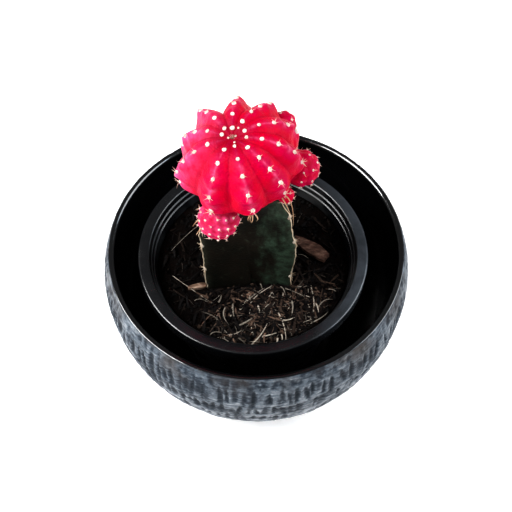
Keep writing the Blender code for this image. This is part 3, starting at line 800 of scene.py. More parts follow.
def stemRadius(z, azimuth):
    away = [abs(turnFrom(rib, azimuth)) for rib in stem["ribs"]]
    rib = away.index(min(away))
    crest = stemRibRadius(z, rib)
    flat = stem["flat"] * crest
    edge = stem["faceEdge"]
    return flat + (crest - flat) * faceRise(min(edge, 60 - away[rib])) / faceRise(edge)


def stemAround(point):
    # distance and azimuth of a place from the stem's middle line
    middle = stemMiddle(point.z)
    x, y = point.x - middle.x, point.y - middle.y
    return hypot(x, y), degrees(atan2(y, x))


def outsideStem(point, margin):
    if point.z > stem["graftZ"] + margin:
        return True
    away, azimuth = stemAround(point)
    return away > stemRadius(point.z, azimuth) + margin


def stemSolid(levels, grow=0.0, rough=0.0):
    # rings of the stem's outline, extruded from the foot up
    bm = bmesh.new()
    edges = startRing(bm, 3 * stem["columns"])
    ring = list(bm.verts)
    for row, z in enumerate(levels):
        if row:
            ring, edges = growRing(bm, edges)
        oldMiddle = sum((vert.co for vert in ring), Vector()) / len(ring)
        for vert in ring:
            turn = atan2(vert.co.y - oldMiddle.y, vert.co.x - oldMiddle.x)
            away = stemRadius(z, degrees(turn)) + grow
            if rough:
                away += rough * noise((cos(turn) * 2, sin(turn) * 2, z * 160))
            vert.co = stemMiddle(z) + spoke(away, turn)
    return closeRing(bm, edges)


def stemMaterial():
    material, shader, coords = newMaterial("stemSkin")
    colour, mask = placeMottle(coords, stem["colour"], stem["otherColour"], 70, 700)
    clouds = addNoise(addMapping(coords, (1, 1, 0.45)), 210, 4, 0.6)
    right = plus(addSplit(coords)["X"], addRange(clouds, 0.3, 0.7, -0.010, 0.010))
    blotches = addRange(addNoise(coords, 400, 3, 0.6), 0.40, 0.60, 0.40, 1.0)
    colour = addMix(times(blotches, addRange(right, 0.000, 0.012, 0.0, 0.95)), colour, stem["greenColour"])
    scars = addRange(addNoise(coords, 420, 3, 0.6), 0.60, 0.74, 0.0, 0.55)
    for amount in (scars, times(addAttribute(coords, "crest"), 0.5)):
        colour = addMix(amount, colour, stem["scarColour"])
    setLook(shader, coords, colour, addRange(mask, 0, 1, 0.40, 0.56), 0.08, (1300, 300, 1.1, 0.00028, 0.6))
    return material


def hornMaterial(name, pale, dark):
    # dry straw-coloured tissue, darker where its tone is high
    material, shader, coords = newMaterial(name)
    colour, mask = placeMottle(coords, pale, dark, 420, 2600)
    setLook(shader, coords, addMix(addAttribute(coords, "tone"), colour, dark),
            addRange(mask, 0, 1, 0.50, 0.68), 0.15, (3800, 900, 0.6, 0.00005, 0.5))
    return material


def stemRibPlace(rib, z, outward):
    azimuth = stem["ribs"][rib]
    return stemMiddle(z) + spoke(stemRadius(z, azimuth) + outward, radians(azimuth))


def makeStem():
    levels = stepsBetween(soilZ - stem["buried"], stem["graftZ"], stem["rows"])
    bm = stemSolid(levels, rough=stem["skinRelief"])
    crest = addLayers(bm, "crest")[0]
    for vert in bm.verts:
        nearest = min(abs(turnFrom(rib, stemAround(vert.co)[1])) for rib in stem["ribs"])
        vert[crest] = max(0.0, 1 - nearest / 6)
    finishPiece(bm, "rootstockStem", "rootstock", stemMaterial(), sharpDegrees=60)


def makeStemEdges():
    rng = random.Random(stem["seed"])
    margins, knots, spines = newBunch(), newBunch(), newBunch()
    long = rodTemplate(7, 84, 0.6)
    thin = rodTemplate(5, 4, 0.12)
    pad = padTemplate()
    outs = [spoke(1, radians(azimuth)) for azimuth in stem["ribs"]]
    for rib, out in enumerate(outs):
        drift = Vector((rib * 7.3, 2.1, 0))
        side = worldUp.cross(out)
        path = []
        for z in stepsBetween(soilZ - 0.002, stem["graftZ"] - 0.0004, 84):
            sway = noise(drift + Vector((0, 0, z * 170))) * stem["marginSway"]
            lift = stem["marginClear"] + abs(noise(drift + Vector((5, 0, z * 260)))) * stem["marginLift"]
            path.append(stemRibPlace(rib, z, lift) + side * sway)
        for shift, width in stem["strands"]:
            bend = [point + side * shift * noise(point * 500 + drift) * stem["strandSway"] for point in path]
            addBentRod(margins, long, bend, stem["marginRadius"] * width, rng.uniform(0.0, 0.45))
    for rib, out in enumerate(outs):
        side = worldUp.cross(out)
        for share in stemAreoles[rib]:
            seat = stemRibPlace(rib, soilZ + share * (stem["graftZ"] - soilZ), 0.0001)
            addPad(knots, pad, rng, seat, out, stem["knotRadius"], 0.0)
            for number in range(stem["knotSpines"]):
                turn = tau * (number + rng.uniform(0.2, 0.8)) / stem["knotSpines"]
                aim = (out * 0.7 + side * cos(turn) + worldUp * sin(turn)).normalized()
                length = rng.uniform(*stem["spineLengths"])
                addSpine(spines, thin, rng, seat, aim, length, stem["spineRadius"], rng.uniform(0.0, 0.5))
    for bm, name, material, pale, dark in ((margins, "stemMargins", "dryHorn", "marginColour", "marginShade"),
                                           (knots, "stemAreoles", "stemWool", "woolColour", "woolShade"),
                                           (spines, "stemSpines", "stemSpine", "spineColour", "spineShade")):
        finishPiece(bm, name, "rootstock", hornMaterial(material, stem[pale], stem[dark]))


def padTemplate():
    # a ball for the woolly pads, its pole marked as the brown heart
    bm = newBunch()
    heart = bm.verts.layers.float["heart"]
    bmesh.ops.create_icosphere(bm, subdivisions=2, radius=1)
    for vert in bm.verts:
        vert[heart] = 1.0 if vert.co.z > 0.9 else 0.0
    return bm


def addPad(bm, template, rng, seat, out, radius, tone):
    # a woolly pad: a lumpy low dome on the skin, a little sunk in its middle
    turn = turnUpTo(out) @ Matrix.Rotation(rng.uniform(0, 6), 3, "Z")
    drift = Vector((rng.uniform(0, 50), rng.uniform(0, 50), 0))
    stretch = rng.uniform(0.9, 1.2)

    def place(point):
        lump = 1 + 0.22 * noise(point * 2.2 + drift)
        low = 0.62 if point.z < 0.75 else 0.50
        local = Vector((point.x * stretch, point.y / stretch, point.z * low)) * lump * radius
        return seat + turn @ local

    addShape(bm, template, place, tone)


def addSpine(bm, template, rng, seat, aim, length, radius, tone):
    sag = Vector((rng.uniform(-1, 1), rng.uniform(-1, 1), rng.uniform(-1.2, 0.4))) * length * 0.10
    start = seat - aim * radius
    end = seat + aim * length + sag
    addBentRod(bm, template, curvePath(start, (start + end) / 2 - sag * 0.7, end, 5), radius, tone)


makeStem()
makeStemEdges()
print("rootstock done")


# Soil: dark bark compost, a fine lumpy skin with crumbs, shreds and straws on it

soil = {
    "mound": 0.0012,
    "relief": 0.0011,
    "lump": 0.006,
    "rings": 76,
    "sides": 190,
    "fineRelief": 0.00042,
    "crumbs": 1100,
    "crumbFront": 0.35,
    "crumbSizes": (0.00035, 0.0011),
    "crumbClear": 0.0012,
    "rodClear": 0.0009,
    "edgeClear": 0.0012,
    "frontAzimuth": 292,
    "frontSpread": 36,
    "shreds": 1050,
    "straws": 170,
    "fibres": 40,
    "toneCurve": 7.0,
    "leastPale": 0.10,
    # the litter is dark behind one y and left of one x, each with the width of its fade
    "darkBehind": (-0.007, 0.009),
    "darkLeft": (-0.027, 0.012),
    # rod's sides, joints and tip; share in front, lengths, radii, flatness, paleness, lift
    "shredSizes": ((5, 3, 0.3), 0.72, (0.0030, 0.0085), (0.0003, 0.0009), 0.40, (0.0, 1.0), 0.0015),
    "strawSizes": ((5, 6, 0.35), 0.78, (0.002, 0.0070), (0.00018, 0.00046), 0.42, (0.5, 1.0), 0.0014),
    "fibreSizes": ((4, 6, 0.6), 0.5, (0.006, 0.016), (0.00006, 0.00011), 1.0, (0.3, 1.0), 0.0016),
    "seed": 23,
    "colour": (0.0014, 0.0010, 0.0009),
    "otherColour": (0.0055, 0.0032, 0.0026),
    "darkShred": (0.0036, 0.0022, 0.0020),
    "paleShred": (0.250, 0.160, 0.115),
    "darkStraw": (0.020, 0.014, 0.011),
    "paleStraw": (0.80, 0.71, 0.59),
}
chips = {
    "barkChip": {
        "node": "bark_chip",
        "middle": (0.0222, 0.0062),
        "size": (0.0165, 0.0054, 0.0016),
        "turn": -37,
        "finish": "redBark",
        "colours": ((0.018, 0.0090, 0.0070), (0.086, 0.046, 0.034), (0.19, 0.115, 0.086)),
    },
    "smallBarkChip": {
        "node": "small_bark_chip",
        "middle": (-0.0238, -0.0121),
        "size": (0.0072, 0.0023, 0.0012),
        "turn": 12,
        "finish": "paleBark",
        "colours": ((0.06, 0.034, 0.024), (0.20, 0.125, 0.085), (0.56, 0.42, 0.32)),
    },
}

# straws that the photo shows one by one, in mm: x and y of start, middle and end, half width, paleness 0 to 1
shownStraws = (
    (-25.0, 17.0, -29.7, 10.9, -34.9, 4.6, 0.22, 0.66), (-33.7, -7.4, -26.8, -12.8, -16.9, -20.4, 0.24, 0.80),
    (-4.7, -20.1, -0.6, -16.4, 3.4, -12.8, 0.36, 0.42), (-2.2, -19.8, 0.8, -16.3, 6.5, -11.9, 0.36, 0.72),
    (1.6, -10.6, 2.0, -11.6, 2.4, -13.6, 0.30, 0.60), (-6.7, -30.1, -3.0, -28.2, 0.1, -25.6, 0.52, 0.42),
    (-1.7, -38.0, 3.3, -31.4, 5.6, -23.3, 0.34, 0.66), (2.3, -34.9, 5.6, -33.9, 8.8, -32.6, 0.50, 0.70),
    (8.2, -23.3, 10.8, -30.1, 11.5, -36.2, 0.30, 0.72), (10.4, -27.6, 12.6, -27.5, 15.4, -26.4, 0.46, 1.00),
    (21.9, -11.6, 22.9, -21.0, 21.2, -26.7, 0.26, 0.62), (22.6, -28.4, 25.8, -26.4, 28.3, -23.9, 0.36, 0.50),
    (29.0, -13.4, 30.6, -13.6, 32.0, -14.3, 0.34, 0.74), (24.6, -21.6, 27.0, -18.9, 30.4, -18.1, 0.40, 0.36),
    (19.2, -16.3, 20.7, -17.2, 22.2, -17.5, 0.34, 0.76),
    (-11.8, -21.0, -12.9, -25.6, -10.7, -29.5, 0.34, 0.38),
    (-18.1, -34.0, -16.4, -32.8, -13.6, -32.9, 0.38, 0.46),
    (-10.6, -33.5, -8.0, -33.2, -5.7, -31.8, 0.42, 0.52),
    (-21.4, -23.9, -14.7, -27.8, -13.6, -33.5, 0.36, 0.12),
    (-24.6, -18.7, -22.6, -18.3, -20.5, -19.0, 0.34, 0.52),
    (0.3, -20.4, 0.9, -21.6, 1.3, -23.3, 0.52, 0.86), (4.9, -20.4, 3.4, -21.9, 2.4, -23.3, 0.34, 0.60),
    (14.1, -18.7, 14.4, -22.2, 13.9, -25.6, 0.36, 0.40), (11.6, -13.4, 18.2, -16.3, 20.7, -18.7, 0.30, 0.36),
    (23.7, -19.8, 24.4, -21.8, 24.6, -23.9, 0.36, 0.66), (17.1, 2.9, 19.2, 2.3, 21.2, 1.1, 0.30, 0.44),
    (8.3, -35.1, 8.2, -36.4, 8.2, -37.4, 0.44, 0.62), (9.8, -33.5, 10.1, -35.2, 10.0, -36.8, 0.36, 0.62),
    (-9.3, -19.8, -9.2, -23.2, -8.7, -26.7, 0.34, 0.34), (-7.1, -34.6, -5.8, -36.4, -4.1, -37.9, 0.44, 0.14),
    (9.6, -12.5, 10.8, -14.2, 11.6, -16.3, 0.26, 0.44),
)


def nearChip(x, y):
    # 1 on open soil, falling to 0 under the bark chips
    share = 1.0
    for chip in chips.values():
        length, width, _ = chip["size"]
        local = Matrix.Rotation(-radians(chip["turn"]), 2) @ (Vector((x, y)) - Vector(chip["middle"]))
        away = hypot(max(0.0, abs(local.x) - length / 2), max(0.0, abs(local.y) - width / 2))
        share = min(share, max(0.0, (away - 0.0006) / 0.0016))
    return min(1.0, share)


def soilHeight(x, y):
    away = hypot(x - stem["footX"], y - stem["footY"])
    mound = soil["mound"] * (1 - away / pot["mouthRadius"])
    lump = noise(Vector((x, y, 0)) / soil["lump"])
    crumb = noise(Vector((x, y, 1)) / soil["lump"] * 2) / 2
    return soilZ + nearChip(x, y) * (mound + soil["relief"] * (lump + crumb))


def fineSoil(x, y):
    coarse = noise(Vector((x, y, 3)) / 0.0021)
    fine = noise(Vector((x, y, 5)) / 0.0009)
    return soilHeight(x, y) + soil["fineRelief"] * nearChip(x, y) * (coarse + 0.5 * fine)


def soilMaterial():
    material, shader, coords = newMaterial("compost")
    colour, mask = placeMottle(coords, soil["colour"], soil["otherColour"], 260, 1600)
    setLook(shader, coords, colour, addRange(mask, 0, 1, 0.72, 0.95), 0.01, (2200, 800, 1.0, 0.0004, 0.9))
    return material


def litterMaterial(name, dark, pale):
    # bits of bark or straw: tone says how pale each one is
    material, shader, coords = newMaterial(name)
    fibre = addNoise(coords, 1500, 3, 0.6)
    base = addMix(addAttribute(coords, "tone"), dark, pale)
    shaded = addMix(addRange(fibre, 0.35, 0.7, 0.0, 0.55), base, shade(dark, 0.35))
    setLook(shader, coords, shaded, addRange(fibre, 0.3, 0.7, 0.55, 0.8), 0.03,
            (4200, 1100, 0.7, 0.0001, 0.7))
    return material


def makeSoilBall():
    floorZ = pot["baseZ"] + pot["wall"] + seamGap
    edge = potInnerRadius(soilZ) - seamGap
    outline = [(0, floorZ), (potInnerRadius(floorZ) - 2 * seamGap, floorZ)]
    outline += [(edge * (1 - ring / soil["rings"]), soilZ) for ring in range(soil["rings"])] + [(0, soilZ)]
    bm = spinOutline(outline, soil["sides"], pot["x"])
    for vert in bm.verts:
        x, y, z = vert.co
        if z > soilZ - seamGap:
            vert.co.z = soilZ + clamp((edge - hypot(x - pot["x"], y)) / 0.002) * (fineSoil(x, y) - soilZ)
    piece = finishPiece(bm, "rootBall", "potting_soil", soilMaterial())
    levels = stepsBetween(soilZ - stem["buried"] - stem["holeGap"], soilZ + 0.008, 40)
    cutAway(piece, stemSolid(levels, grow=stem["holeGap"]))


def openSoil(x, y, margin):
    # whether a bit can lie there: inside the pot, clear of the stem and the chips
    if hypot(x - pot["x"], y) > potInnerRadius(soilZ) - margin or nearChip(x, y) < 0.3:
        return False
    return outsideStem(Vector((x, y, soilZ)), margin)


def litterPaleness(x, y):
    # how pale the litter is: palest at the front, dark beside and behind the stem
    behind, behindFade = soil["darkBehind"]
    left, leftFade = soil["darkLeft"]
    pale = clamp((behind - y) / behindFade) * clamp((x - left) / leftFade)
    return soil["leastPale"] + (1 - soil["leastPale"]) * pale


def strewn(rng, front):
    # a random place on the soil; the higher front is, the more of them lie in the front half
    reach = (potInnerRadius(soilZ) - soil["edgeClear"]) * sqrt(rng.uniform(0.08, 1))
    turn = rng.uniform(0, tau)
    if rng.random() < front:
        turn = radians(rng.gauss(soil["frontAzimuth"], soil["frontSpread"]))
    return pot["x"] + reach * cos(turn), reach * sin(turn)


def makeCrumbs():
    rng = random.Random(soil["seed"])
    bm = newBunch()
    lump = newBunch()
    bmesh.ops.create_icosphere(lump, subdivisions=1, radius=1)
    for _ in range(soil["crumbs"]):
        x, y = strewn(rng, soil["crumbFront"])
        if not openSoil(x, y, soil["crumbClear"]):
            continue
        size = rng.uniform(*soil["crumbSizes"])
        turn = Matrix.Rotation(rng.uniform(0, 6), 3, (rng.random(), rng.random(), 0.3))
        stretch = Vector((rng.uniform(0.6, 1.5), rng.uniform(0.6, 1.2), rng.uniform(0.5, 0.9))) * size
        seat = Vector((x, y, fineSoil(x, y) + size * 0.15))
        addShape(bm, lump, lambda p: seat + turn @ (p * stretch), rng.random() ** 6 * 0.6 * litterPaleness(x, y))
    finishPiece(bm, "soilCrumbs", "potting_soil", litterMaterial("crumb", soil["colour"], soil["paleShred"]),
                sharpDegrees=20)


def laidPath(ends, lifts, count):
    # a path along the soil through three places, raised at each by its lift
    return curvePath(*[Vector((x, y, fineSoil(x, y) + lift)) for (x, y), lift in zip(ends, lifts)], count)


def strewRods(bm, rng, template, number, front, lengths, radii, flatness, tones, lift):
    for _ in range(number):
        x, y = strewn(rng, front)
        half = rng.uniform(*lengths) / 2
        step = spoke(half, rng.uniform(0, tau))
        bend = Vector((-step.y, step.x)) * rng.uniform(-0.14, 0.14)
        ends = ((x - step.x, y - step.y), (x + bend.x, y + bend.y), (x + step.x, y + step.y))
        radius = rng.uniform(*radii)
        tone = rng.uniform(*tones) ** soil["toneCurve"] * litterPaleness(x, y)
        lifts = (rng.uniform(-0.2, 0.6) * lift, rng.uniform(0.1, 0.8) * lift, rng.uniform(-0.2, 1.2) * lift)
        if all(openSoil(*place, soil["rodClear"]) for place in ends):
            addBentRod(bm, template, laidPath(ends, lifts, 6), radius, tone, flatness, rng.uniform(-0.6, 0.6))


def makeLitter():
    rng = random.Random(soil["seed"] + 1)
    # piece, kind of bit, kind of its colours, angle of sharp edges
    kinds = (("barkShreds", "shred", "Shred", 40), ("soilStraws", "straw", "Straw", None),
             ("fineFibres", "fibre", "Straw", None))
    for name, finish, kind, sharp in kinds:
        bm = newBunch()
        rodShape, *kindSizes = soil[finish + "Sizes"]
        rod = rodTemplate(*rodShape)
        strewRods(bm, rng, rod, soil[finish + "s"], *kindSizes)
        if finish == "straw":
            for *places, halfWidth, tone in shownStraws:
                ends = [(x / 1000, y / 1000) for x, y in zip(places[::2], places[1::2])]
                path = laidPath(ends, (0.0009, 0.0013, 0.0009), 7)
                addBentRod(bm, rod, path, halfWidth / 1000, tone, 0.45, 0.2)
        look = litterMaterial(finish, soil["dark" + kind], soil["pale" + kind])
        finishPiece(bm, name, "potting_soil", look, sharp)


def barkMaterial(name, dark, middle, pale):
    material, shader, coords = newMaterial(name)
    alongGrain = addMapping(coords, (1, 2.6, 2), 40)
    lines = addNoise(alongGrain, 260, 5, 0.6)
    colour = addRamp(lines, [(0.30, dark), (0.50, middle), (0.72, pale)])
    patch = addRange(addNoise(coords, 240, 3), 0.5, 0.7, 0.0, 0.6)
    setLook(shader, alongGrain, addMix(patch, colour, dark), addRange(lines, 0.3, 0.7, 0.62, 0.85), 0.03,
            (420, 110, 1.0, 0.0004, 0.8))
    return material


def makeChip(name):
    # a splinter of bark: a subdivided board, tapered, cupped and split along its grain
    chip = chips[name]
    length, width, thickness = chip["size"]
    bm = bmesh.new()
    bmesh.ops.create_cube(bm, size=1)
    bmesh.ops.subdivide_edges(bm, edges=bm.edges, cuts=11, use_grid_fill=True)
    turn = Matrix.Rotation(radians(chip["turn"]), 3, "Z")
    drift = Vector((length * 900, 0, 0))
    for vert in bm.verts:
        x, y, z = vert.co
        along = x * 2
        taper = 1 - 0.45 * along * along + 0.18 * along
        ragged = 1 + 0.10 * noise(Vector((x * 7, y * 3, 0)) + drift)
        end = 1 + 0.06 * noise(Vector((0, y * 9, 1)) + drift)
        lift = 0.25 * (1 - along * along) * max(0.0, z + 0.5)
        fibre = 0.14 * noise(Vector((x * 3, y * 16, z * 2)) + drift) if z > 0 else 0.0
        local = Vector((x * length * end, y * width * taper * ragged, (z + 0.5 + lift + fibre) * thickness))
        vert.co = Vector((*chip["middle"], soilZ + seamGap)) + turn @ local
    finishPiece(bm, name, chip["node"], barkMaterial(chip["finish"], *chip["colours"]), sharpDegrees=50)


makeSoilBall()
makeCrumbs()
makeLitter()
for name in chips:
    makeChip(name)
print("soil done")


# Scion: the red ribbed globe with its offsets, woolly areoles and spines

scion = {
    "centre": (-0.0060, 0.0, 0.133),
    "radius": 0.0218,
    "halfHeight": 0.0155,
    "leanLeft": 9,
    "leanFront": 9,
    "sharpness": 1.15,
    "crestRound": 0.05,
    "grooveDrop": 0.35,
    "rimFade": 0.5,
    "rimFadeFrom": 60,
    "rimFadeWidth": 45,
    "ribSteps": 22,
    "rows": 132,
    "areoleSteps": (0, 14, 31, 52, 78),
    "chinHeight": 0.0015,
    "chinSpread": 6.5,
    "swells": ((120, 0.00090), (330, 0.00036), (620, 0.00012)),
    "crownDip": 0.0028,
    "crownSpread": 15,
    "padRadius": 0.00075,
    "offsetPadRadius": 0.00041,
    "offsetSkin": 0.92,
    "offsetLump": 0.13,
    "offsetNeck": 0.0022,
    "stemClear": 0.0006,
    "spineRadius": 0.00014,
    "longSpineRadius": 0.00026,
    "longSpineRoot": 0.0009,
    "crownHairs": 46,
    "crownHairRadius": 0.00008,
    "areoleHairs": 11,
    "hairRadius": 0.00006,
    "seed": 31,
    "grooveColour": (0.57, 0.0, 0.028),
    "crestColour": (0.52, 0.0, 0.068),
    # painted shade: dark red for the grooves and the sunken crown
    "paintedShadeColour": (0.20, 0.0, 0.010),
    # painted highlight: pale pink laid along the crests and above the areoles
    "paintedHighlightColour": (0.92, 0.20, 0.40),
    # painted sheen: pinker colour where the skin faces the light at the left and back
    "paintedSheenColour": (0.80, 0.100, 0.285),
    "wool": (0.92, 0.88, 0.80),
    "woolShade": (0.36, 0.22, 0.14),
    "spineColour": (0.93, 0.86, 0.76),
    "spineShade": (0.66, 0.44, 0.30),
    "tanColour": (0.72, 0.52, 0.34),
    "tanShade": (0.40, 0.22, 0.12),
}

# azimuth, reach, polar angle of the first areole, depth of the groove after the rib
ribs = ((-162, 1.025, 22, 0.18), (-116, 0.985, 15, 0.14), (-77, 1.0, 10, 0.15), (-43, 0.965, 20, 0.13),
        (-11, 1.0, 13, 0.17), (21, 0.98, 12, 0.16), (55, 0.955, 17, 0.30), (89, 0.955, 9, 0.36),
        (129, 0.99, 11, 0.24), (163, 0.945, 10, 0.20))

# young areoles round the growing point: azimuth and polar angle
crownAreoles = ((180, 3.8), (-71, 5.8), (25, 3.2), (56, 10.5))

# centre, radius, growing tip, areoles
offsets = {
    "offsetFrontLeft": ((-0.0131, -0.0167, 0.1188), 0.0073, (-0.41, 0.03, 0.91), 58),
    "offsetRight": ((0.0159, 0.0, 0.1260), 0.0065, (0.65, -0.1, 0.75), 30),
    "offsetLowRight": ((0.0103, -0.0085, 0.1215), 0.0031, (0.6, -0.5, 0.3), 15),
    "offsetBackRight": ((0.0095, 0.0138, 0.1335), 0.0047, (0.6, 0.4, 0.7), 20),
}

scionCentre = Vector(scion["centre"])
scionTurn = (Matrix.Rotation(radians(scion["leanFront"]), 3, "X")
             @ Matrix.Rotation(radians(-scion["leanLeft"]), 3, "Y"))


def ribPlace(azimuth):
    # the rib at an azimuth, how far across it that is, 0 crest to 1 groove, and the groove's depth
    nearest = None
    for number, (crest, _, _, grooveAfter) in enumerate(ribs):
        offset = turnFrom(crest, azimuth)
        beside = ribs[(number + (1 if offset >= 0 else -1)) % len(ribs)]
        across = abs(offset) / (abs(turnFrom(crest, beside[0])) / 2)
        if nearest is None or across < nearest[1]:
            nearest = (number, across, grooveAfter if offset >= 0 else beside[3])
    return nearest


def areolePolars(rib):
    return [ribs[rib][2] + step for step in scion["areoleSteps"]]


def scionPoint(polar, azimuth):
    rib, across, depth = ribPlace(azimuth)
    reach = 1 + (ribs[rib][1] - 1) * (1 - across)
    slope = sin(radians(polar))
    soft = hypot(across, scion["crestRound"]) - scion["crestRound"]
    below = clamp((polar - scion["rimFadeFrom"]) / scion["rimFadeWidth"])
    groove = depth * soft ** scion["sharpness"] * slope
    groove *= 1 - scion["rimFade"] * below * below * (3 - 2 * below)
    away = scion["radius"] * slope * reach * (1 - groove)
    z = scion["halfHeight"] * cos(radians(polar)) * (1 - scion["grooveDrop"] * groove)
    chin = sum(exp(-((polar - seat - scion["chinSpread"]) / scion["chinSpread"]) ** 2)
               for seat in areolePolars(rib))
    away += scion["chinHeight"] * chin * (1 - across) * slope
    z -= scion["crownDip"] * exp(-(polar / scion["crownSpread"]) ** 2)
    point = scionCentre + scionTurn @ spoke(away, radians(azimuth), z)
    point.z = max(point.z, stem["graftZ"] + seamGap)
    return point


def swollen(point, polar):
    # a place of the skin, moved out where the uneven flesh swells
    if point.z < stem["graftZ"] + 0.002:
        return point
    swell = sin(radians(polar)) * sum(depth * noise(point * scale) for scale, depth in scion["swells"])
    return point + (point - scionCentre).normalized() * swell


def ribColumns():
    columns = []
    for number, rib in enumerate(ribs):
        gap = (ribs[(number + 1) % len(ribs)][0] - rib[0]) % 360
        columns += [rib[0] + gap * step / scion["ribSteps"] for step in range(scion["ribSteps"])]
    return columns


def fleshMaterial():
    material, shader, coords = newMaterial("redFlesh")
    drift = addNoise(coords, 150, 4, 0.6)
    crest = plus(times(addAttribute(coords, "crest"), 0.9), addRange(drift, 0.35, 0.65, -0.25, 0.3))
    colour = addMix(crest, scion["grooveColour"], scion["crestColour"])
    blotch = addRange(addNoise(coords, 230, 4, 0.65), 0.38, 0.66, 0.25, 1.0)
    broken = addRange(addNoise(coords, 420, 3), 0.36, 0.62, 0.1, 0.9)
    # mixes painted sheen, painted highlights and painted shade into the red
    for mark, share in (("paintedSheen", blotch), ("paintedHighlight", broken), ("paintedShade", 0.68)):
        colour = addMix(times(addAttribute(coords, mark), share), colour, scion[mark + "Colour"])
    feed(shader, {"Subsurface Weight": 0.12, "Subsurface Radius": (1.0, 0.10, 0.12),
                  "Subsurface Scale": 0.0012, "Specular Tint": (1.0, 0.3, 0.5)})
    setLook(shader, coords, colour, addRange(drift, 0.3, 0.7, 0.30, 0.44), 0.045,
            (1500, 360, 1.2, 0.00034, 0.8))
    return material


flesh = fleshMaterial()


def newFleshBall(columns, rows):
    bm = bmesh.new()
    bmesh.ops.create_uvsphere(bm, u_segments=columns, v_segments=rows, radius=1)
    return bm, addLayers(bm, "crest", "paintedHighlight", "paintedSheen", "paintedShade")


def makeScionBody():
    columns = ribColumns()
    bm, (crest, paintedHighlight, paintedSheen, paintedShade) = newFleshBall(len(columns), scion["rows"])
    for vert in bm.verts:
        polar = degrees(acos(max(-1.0, min(1.0, vert.co.z))))
        column = round(atan2(vert.co.y, vert.co.x) / tau * len(columns)) % len(columns)
        azimuth = columns[column]
        rib, across, _ = ribPlace(azimuth)
        slope = sin(radians(polar))
        point = swollen(scionPoint(polar, azimuth), polar)
        vert[crest] = max(0.0, 1 - across * 1.4)
        # painted highlights: a broken pale line along each crest and a patch above each areole
        line = max(0.0, 1 - across * 7) * min(1.0, slope * 1.6) * (0.55 + 0.45 * noise(point * 240))
        above = max(exp(-((polar - seat + 6) / 4.5) ** 2) for seat in areolePolars(rib))
        glow = above * max(0.0, 1 - across * 2.6) * min(1.0, slope * 1.4) * max(0.0, 0.3 + noise(point * 210))
        vert[paintedHighlight] = max(line, 1.7 * glow)
        # painted sheen: pinker where the ribs face the left and back, as if lit from there
        facing = max(0.0, cos(radians(azimuth - 165))) ** 2
        vert[paintedSheen] = facing * min(1.0, slope * 1.3) * (0.55 + 0.45 * (1 - across))
        # painted shade: darker in the grooves and round the sunken crown
        fold = max(0.0, (across - 0.76) / 0.24) ** 1.5 * (0.6 + 0.4 * noise(point * 300))
        vert[paintedShade] = min(1.0, 0.72 * fold + 1.1 * exp(-(polar / 22) ** 2))
        vert.co = point
    finishPiece(bm, "scionGlobe", "scion", flesh)


def offsetSeats(count):
    # evenly spread directions, all but the lowest fifth of a ball
    seats = []
    for number in range(count):
        height = 1 - 1.6 * (number + 0.5) / count
        seats.append(spoke(sqrt(1 - height * height), pi * (3 - sqrt(5)) * number, height))
    return seats


def offsetSkin(direction, seats, radius):
    spread = 1.75 / sqrt(len(seats))
    nearest = min(direction.angle(seat) for seat in seats)
    return radius * (scion["offsetSkin"] + scion["offsetLump"] * exp(-(nearest / spread) ** 2))


def makeOffset(name):
    centre, radius, tip, count = offsets[name]
    centre = Vector(centre)
    turn = turnUpTo(Vector(tip).normalized())
    seats = offsetSeats(count)
    detail = 88 if radius > 0.005 else 56
    # lit picks the offsets on the left, which get painted sheen and stronger painted highlights
    lit = 1.0 if centre.x < 0 else 0.0
    bm, (crest, paintedHighlight, paintedSheen, paintedShade) = newFleshBall(detail, detail // 2)
    neck = (turn.inverted() @ (scionCentre - centre)).normalized()
    for vert in bm.verts:
        direction = vert.co.normalized()
        skin = offsetSkin(direction, seats, radius)
        vert[crest] = clamp((skin / radius - scion["offsetSkin"]) / scion["offsetLump"])
        # painted highlight on the offset's lumps, stronger on the offsets on the left
        vert[paintedHighlight] = (0.10 + 0.50 * lit) * vert[crest] * max(0.0, 0.15 + noise(direction * 9))
        # painted sheen over the offsets on the left
        vert[paintedSheen] = 1.1 * lit * (0.3 + 0.7 * vert[crest]) * (0.6 + 0.4 * noise(direction * 3))
        # painted shade in the hollows between the lumps
        vert[paintedShade] = 0.6 * (1 - vert[crest]) ** 2
        away = skin * (1 + 0.02 * noise(direction * 4))
        away += max(0.0, direction.dot(neck)) ** 6 * scion["offsetNeck"]
        vert.co = centre + turn @ direction * away
    finishPiece(bm, name, "scion", flesh)


def inOffset(point):
    return any((point - Vector(centre)).length < radius for centre, radius, _, _ in offsets.values())


def insideGlobe(point):
    local = scionTurn.inverted() @ (point - scionCentre)
    wide = 0.92 * scion["radius"]
    high = 0.97 * scion["halfHeight"]
    return (local.x / wide) ** 2 + (local.y / wide) ** 2 + (local.z / high) ** 2 < 1


def areolePlaces():
    # every areole: seat, outward, along its rib, size, how far down (0 crown to 1 rim), on an offset or not
    for rib, (azimuth, _, _, _) in enumerate(ribs):
        for polar in areolePolars(rib):
            seat = scionPoint(polar, azimuth)
            if seat.z < stem["graftZ"] + 0.0012 or inOffset(seat):
                continue
            along = (scionPoint(polar + 4, azimuth) - seat).normalized()
            side = (scionPoint(polar, azimuth + 3) - scionPoint(polar, azimuth - 3)).normalized()
            out = along.cross(side)
            if out.dot(seat - scionCentre) < 0:
                out.negate()
            seat = swollen(seat, polar)
            if outsideStem(seat + out * 0.0015, scion["stemClear"]):
                yield seat, out, along, scion["padRadius"], polar / 90, False
    for centre, radius, tip, count in offsets.values():
        seats = offsetSeats(count)
        turn = turnUpTo(Vector(tip).normalized())
        for seat in seats:
            out = (turn @ seat).normalized()
            place = Vector(centre) + out * offsetSkin(seat, seats, radius)
            if outsideStem(place, scion["stemClear"]) and not insideGlobe(place):
                size = scion["offsetPadRadius"] * (0.8 if radius < 0.004 else 1.0)
                yield place, out, out.orthogonal().normalized(), size, 0.35 + 0.35 * (1 - seat.z), True


